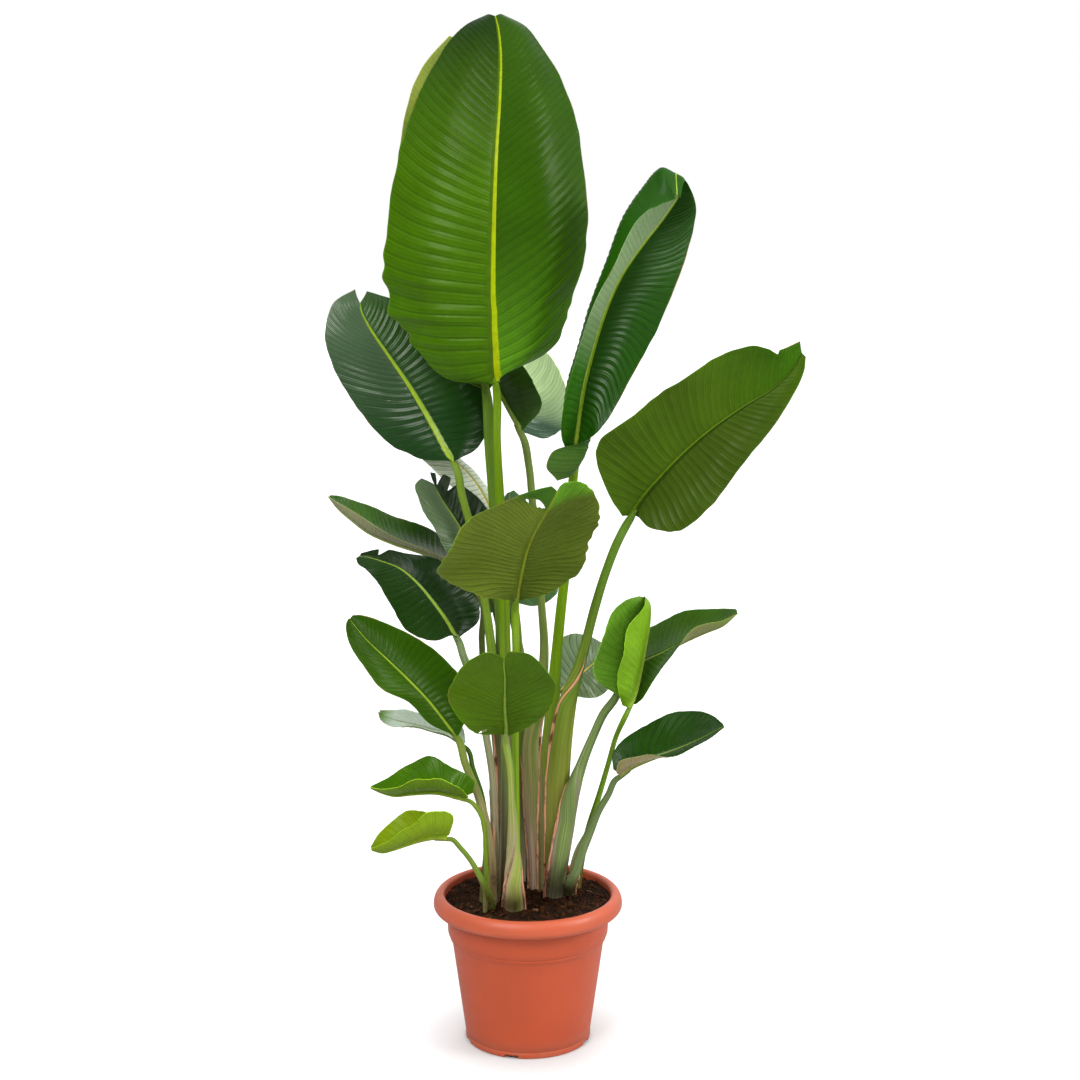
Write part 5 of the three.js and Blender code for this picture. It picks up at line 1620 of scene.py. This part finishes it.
def notch_cutter():
    """Blocks that cut the drain notches through the foot."""
    points, faces = [], []
    for degrees in NOTCH_ANGLES:
        turn = math.radians(degrees)
        out = np.array([math.cos(turn), math.sin(turn), 0])
        side = np.array([-math.sin(turn), math.cos(turn), 0])
        for (near, far), half, top in [(NOTCH_REACH, NOTCH_WIDTH / 2, NOTCH_HEIGHT),
                                       (HOLE_REACH, HOLE_HALF, POT_FLOOR + 2)]:
            rings = [[out * reach + side * half * sign + np.array([0, 0, z])
                      for reach, sign in ((near, -1), (far, -1), (far, 1), (near, 1))]
                     for z in (-4, top)]
            shape, skin = tube(np.array(rings))
            faces.append(skin + sum(len(p) for p in points))
            points.append(shape)
    return make_piece("notch_cutter", np.concatenate(points), np.concatenate(faces), [])


cutter = notch_cutter()
print(f"{len(NOTCH_ANGLES)} notches")

# %% Make the pot
pot = make_piece("nursery_pot", *turned(wall, POT_SIDES), [plastic])
cut = pot.modifiers.new("notches", "BOOLEAN")
cut.operation = "DIFFERENCE"
cut.object = cutter
cut.solver = "EXACT"
cut.use_self = True
bpy.context.view_layer.update()
graph = bpy.context.evaluated_depsgraph_get()
trimmed = bpy.data.meshes.new_from_object(pot.evaluated_get(graph))
pot.modifiers.clear()
pot.data = trimmed
bpy.data.objects.remove(cutter)
place_piece(pot, "terracotta_plastic", "pot")
print(f"pot: {len(pot.data.polygons)} faces")

# %% [markdown]
# ## The soil
# Potting mix is crumbs of peat with shreds of bark and a few pale splinters. It fills the pot to
# just under the rim and is a little lower in the middle, where watering has settled it. Its
# surface is a polar grid pushed up and down by noise: rounded cells make the crumbs, a slower
# noise the hollows. Bark and fibres are real small solids lying on it, because their shadows are
# what makes soil look like soil.

# %% Soil surface
SOIL_EDGE_LEVEL = 215.0
SOIL_MOUND = -2.0
SOIL_RADIUS = 121.6
SOIL_MIDDLE = 0.4
SOIL_ROWS = 100
SOIL_SIDES = 320
SOIL_WALL = ((88, 5.5), (109, 150.3), (115.4, 160.3), (117.9, 195.5))
HOLLOW_SIZE, HOLLOW_DEPTH = 26, 2.6
LUMP_SIZE, LUMP_HEIGHT = 5.2, 3.4
GRIT_SIZE, GRIT_HEIGHT = 3.1, 0.9
SETTLED = 1.2


def soil_level(x, y):
    """The height of the soil's surface."""
    r = math.hypot(x, y)
    mound = SOIL_EDGE_LEVEL + SOIL_MOUND * (1 - (r / SOIL_RADIUS) ** 2)
    slow = noise.noise(Vector((x / HOLLOW_SIZE, y / HOLLOW_SIZE, 4.0))) * HOLLOW_DEPTH
    near, second = noise.voronoi(Vector((x / LUMP_SIZE, y / LUMP_SIZE, 1.7)))[0][:2]
    grit = noise.fractal(Vector((x / GRIT_SIZE, y / GRIT_SIZE, 9.0)), 1.0, 2.0, 3) * GRIT_HEIGHT
    crumbs = (second - near) * LUMP_HEIGHT + grit
    return mound + slow + crumbs - SETTLED


def soil_surface():
    """The soil from its wall inside the pot up to its crumbly surface."""
    radii = SOIL_RADIUS * (1 - np.linspace(0, 1, SOIL_ROWS)) + SOIL_MIDDLE
    angles = np.linspace(0, 2 * np.pi, SOIL_SIDES, endpoint=False)
    rings = [np.stack([r * np.cos(angles), r * np.sin(angles), np.full(SOIL_SIDES, z)], axis=1)
             for r, z in SOIL_WALL]
    for r in radii:
        x, y = r * np.cos(angles), r * np.sin(angles)
        z = np.array([soil_level(*p) for p in zip(x, y)])
        rings.append(np.stack([x, y, z], axis=1))
    return tube(np.array(rings))


print(f"the soil's surface is {soil_level(0, 0):.1f} mm high in the middle")


# %% Bark and fibres
FIBRE_RINGS = 9


def crumb(random, place, size):
    """A rough lump of bark: four uneven six-sided rings."""
    axis = unit(random.normal(size=3) * np.array([1, 1, 0.35]))
    across = unit(np.cross(axis, random.normal(size=3)))
    third = np.cross(axis, across)
    length = size * random.uniform(0.7, 1.6)
    wide, thick = size * 0.5, size * random.uniform(0.15, 0.4)
    rings = []
    for along, scale in ((-0.5, 0.45), (-0.15, 1.0), (0.2, 0.9), (0.5, 0.35)):
        turn = np.linspace(0, 2 * np.pi, 6, endpoint=False)[:, None]
        uneven = scale * random.uniform(0.75, 1.2, size=(6, 1))
        rings.append(place + axis * along * length
                     + uneven * (np.cos(turn) * across * wide + np.sin(turn) * third * thick))
    return tube(np.array(rings))


def fibre(random, place, length):
    """A thin curved shred of bark or coir."""
    heading = random.uniform(0, 2 * np.pi)
    bend = random.uniform(-1.1, 1.1)
    part = np.linspace(0, 1, FIBRE_RINGS)
    angle = heading + bend * (part - 0.5)
    flat = np.zeros(FIBRE_RINGS)
    steps = np.stack([np.cos(angle), np.sin(angle), flat], axis=1)
    path = np.cumsum(steps, axis=0) * length / FIBRE_RINGS
    path = path - path[FIBRE_RINGS // 2] + place
    path[:, 2] += np.sin(part * np.pi) * length * random.uniform(-0.02, 0.12)
    thick = random.uniform(0.25, 0.7)
    turn = np.linspace(0, 2 * np.pi, 6, endpoint=False)[None, :, None]
    side = np.stack([-np.sin(angle), np.cos(angle), flat], axis=1)
    full = (0.35 + 0.65 * np.sin(part * np.pi))[:, None, None] * thick
    ring = np.cos(turn) * side[:, None] * 1.6 + np.sin(turn) * [0, 0, 1]
    return tube(path[:, None] + ring * full)


print(f"a fibre has {FIBRE_RINGS} rings")


# %% Soil finish
def soil_finish(name, dark, light, gloss):
    """Moist matter from dark to light, rough all over."""
    material, tree = new_material(name)
    clouds = mottle(tree, 60.0, 8.0)
    base = mix_colour(tree, clouds["Grain"], colour(dark), colour(light))
    base = mix_colour(tree, clouds["Cloud"], base, colour(dark, 0.6))
    finish_surface(tree, base, gloss, clouds["Grain"], 0.0012, 1.0, Specular_IOR_Level=0.15)
    return material


finishes = [soil_finish("potting_mix", "#1a0f07", "#47290f", 0.85),
            soil_finish("bark_chips", "#2c1708", "#6b3d1c", 0.75),
            soil_finish("pale_splinters", "#7a4f30", "#b98a62", 0.7)]
print("finishes of the soil:", [finish.name for finish in finishes])

# %% Make the soil
CHIPS = 1300
SHREDS = 260
LITTER_RADIUS = 119.5
PALE_CHIPS = 0.035
PALE_SHREDS = 0.12
random = np.random.default_rng(20)
parts = [(*soil_surface(), 0)]
for count in range(CHIPS + SHREDS):
    radius = LITTER_RADIUS * math.sqrt(random.uniform(0, 1))
    turn = random.uniform(0, 2 * math.pi)
    x, y = radius * math.cos(turn), radius * math.sin(turn)
    place = np.array([x, y, soil_level(x, y) + random.uniform(-0.6, 0.8)])
    if count < CHIPS:
        shape, pale = crumb(random, place, 1.8 + 8.5 * random.uniform(0, 1) ** 3), PALE_CHIPS
    else:
        shape, pale = fibre(random, place, random.uniform(6, 22)), PALE_SHREDS
    parts.append((*shape, 2 if random.uniform() < pale else 1))
starts = np.cumsum([0] + [len(points) for points, faces, slot in parts])
soil_points = np.concatenate([points for points, faces, slot in parts])
soil_faces = np.concatenate([faces + start for (points, faces, slot), start in zip(parts, starts)])
soil_slots = np.concatenate([np.full(len(faces), slot) for points, faces, slot in parts])
soil = make_piece("potting_soil", soil_points, soil_faces, finishes, soil_slots)
place_piece(soil, "potting_soil", "soil")
print(f"soil: {len(soil.data.polygons)} faces")

# %% [markdown]
# ## The studio
# A pale floor, a pale world and four soft lamps. The key lamp stands high on the left and a second
# one on the right, and only these two are mirrored in the wax, as long soft highlights. The world is
# pale behind and above and dim in front, so the upper flank of each pleat shines and the lower one
# doesn't, and the leaves keep deep greens. The floor glows a little, more so away from the pot and
# not at all under it, so it stays as pale as the backdrop; the weaker glow near the foot is a
# painted shadow round it.

# %% Floor
FLOOR_HALF = 14.0
FLOOR_GREYS = ([0.46] * 3 + [1], [0.48] * 3 + [1])
# The glow is lowest next to the foot and rises outwards: a painted shadow round the pot.
GLOW_AND_SHADOW_STEPS = ((0.088, 0.098, 0.28), (0.098, 0.17, 0.27), (0.25, 1.5, 0.45))


def floor_finish():
    """A pale floor whose glow is weak at the pot's foot as a painted shadow and grows outwards."""
    material, tree = new_material("studio_floor")
    clouds = mottle(tree, 3.0, 1.0)
    base = mix_colour(tree, clouds["Cloud"], *FLOOR_GREYS)
    surface = finish_surface(tree, base, 0.8, clouds["Grain"], 0.0001, 0.1,
                             Emission_Color=[1, 1, 1, 1], Specular_IOR_Level=0.0)
    place = node(tree, "ShaderNodeTexCoord").outputs["Object"]
    reach = node(tree, "ShaderNodeVectorMath", {0: place}, operation="LENGTH").outputs["Value"]
    glow = 0.0
    for near, far, gain in GLOW_AND_SHADOW_STEPS:
        glow = plus(tree, glow, ramp(tree, reach, near, far, 0.0, gain))
    camera_ray = node(tree, "ShaderNodeLightPath").outputs["Is Camera Ray"]
    tree.links.new(times(tree, glow, camera_ray), surface.inputs["Emission Strength"])
    return material


floor_mesh = bpy.data.meshes.new("studio_floor")
corners = [(right * FLOOR_HALF, back * FLOOR_HALF, 0)
           for right, back in ((-1, -1), (1, -1), (1, 1), (-1, 1))]
floor_mesh.from_pydata(corners, [], [(0, 1, 2, 3)])
floor_mesh.materials.append(floor_finish())
floor = bpy.data.objects.new("studio_floor", floor_mesh)
bpy.context.scene.collection.objects.link(floor)
print(f"the floor is {2 * FLOOR_HALF:.0f} m wide")

# %% World
BACKDROP = (-0.3, 0.7, 0.07, 0.95)
CEILING = (0.3, 0.75, 0.0, 1.0)
world = bpy.data.worlds.new("studio")
bpy.context.scene.world = world
world.use_nodes = True
sky = world.node_tree
sky.nodes.clear()
path = node(sky, "ShaderNodeLightPath")
view = node(sky, "ShaderNodeTexCoord").outputs["Generated"]
way = node(sky, "ShaderNodeSeparateXYZ", {"Vector": view}).outputs
backdrop = ramp(sky, way["Y"], *BACKDROP)
ceiling = ramp(sky, way["Z"], *CEILING)
room = math_node(sky, "MAXIMUM", backdrop, ceiling)
strength = math_node(sky, "MAXIMUM", path.outputs["Is Camera Ray"], room)
glow = node(sky, "ShaderNodeBackground", {"Color": [1, 1, 1, 1], "Strength": strength})
node(sky, "ShaderNodeOutputWorld", {"Surface": glow.outputs[0]})
print(f"the world glows {BACKDROP[2]} in front and {BACKDROP[3]} behind")


# %% Lamps
def soft_lamp(name, place, aim, size, power, mirrored):
    """A square soft lamp that looks at a point. A lamp that isn't mirrored only fills shadows."""
    lamp = bpy.data.lights.new(name, "AREA")
    lamp.size = size
    lamp.energy = power
    stand = bpy.data.objects.new(name, lamp)
    stand.location = place
    stand.visible_glossy = mirrored
    stand.rotation_euler = (Vector(aim) - Vector(place)).to_track_quat("-Z", "Y").to_euler()
    bpy.context.scene.collection.objects.link(stand)


soft_lamp("key", (-1.4, -2.5, 2.7), (0, 0, 0.8), 1.4, 72, True)
soft_lamp("front", (0.6, -3.6, 1.4), (0, 0, 0.5), 1.2, 26, False)
soft_lamp("right", (2.7, -0.9, 1.9), (0, 0, 0.8), 1.2, 60, True)
soft_lamp("back", (0.6, 2.4, 2.6), (0, 0, 0.9), 1.4, 24, False)
print("lamps:", len(bpy.data.lights))

# %% [markdown]
# ## The camera
# It stands where the front view was read from, so every leaf falls where it was measured.

# %% Camera
SENSOR = 36.0
camera_data = bpy.data.cameras.new("front")
camera_data.sensor_width = SENSOR
camera_data.lens = SENSOR * STEPS_TO_EYE / GRID
camera = bpy.data.objects.new("front", camera_data)
camera.location = EYE * MM
camera.rotation_euler = (math.pi / 2 - TILT, 0, 0)
bpy.context.scene.collection.objects.link(camera)
bpy.context.scene.camera = camera
bpy.context.scene.view_settings.view_transform = "Standard"
bpy.context.scene.view_settings.look = "None"
print(f"the lens is {camera_data.lens:.1f} mm")
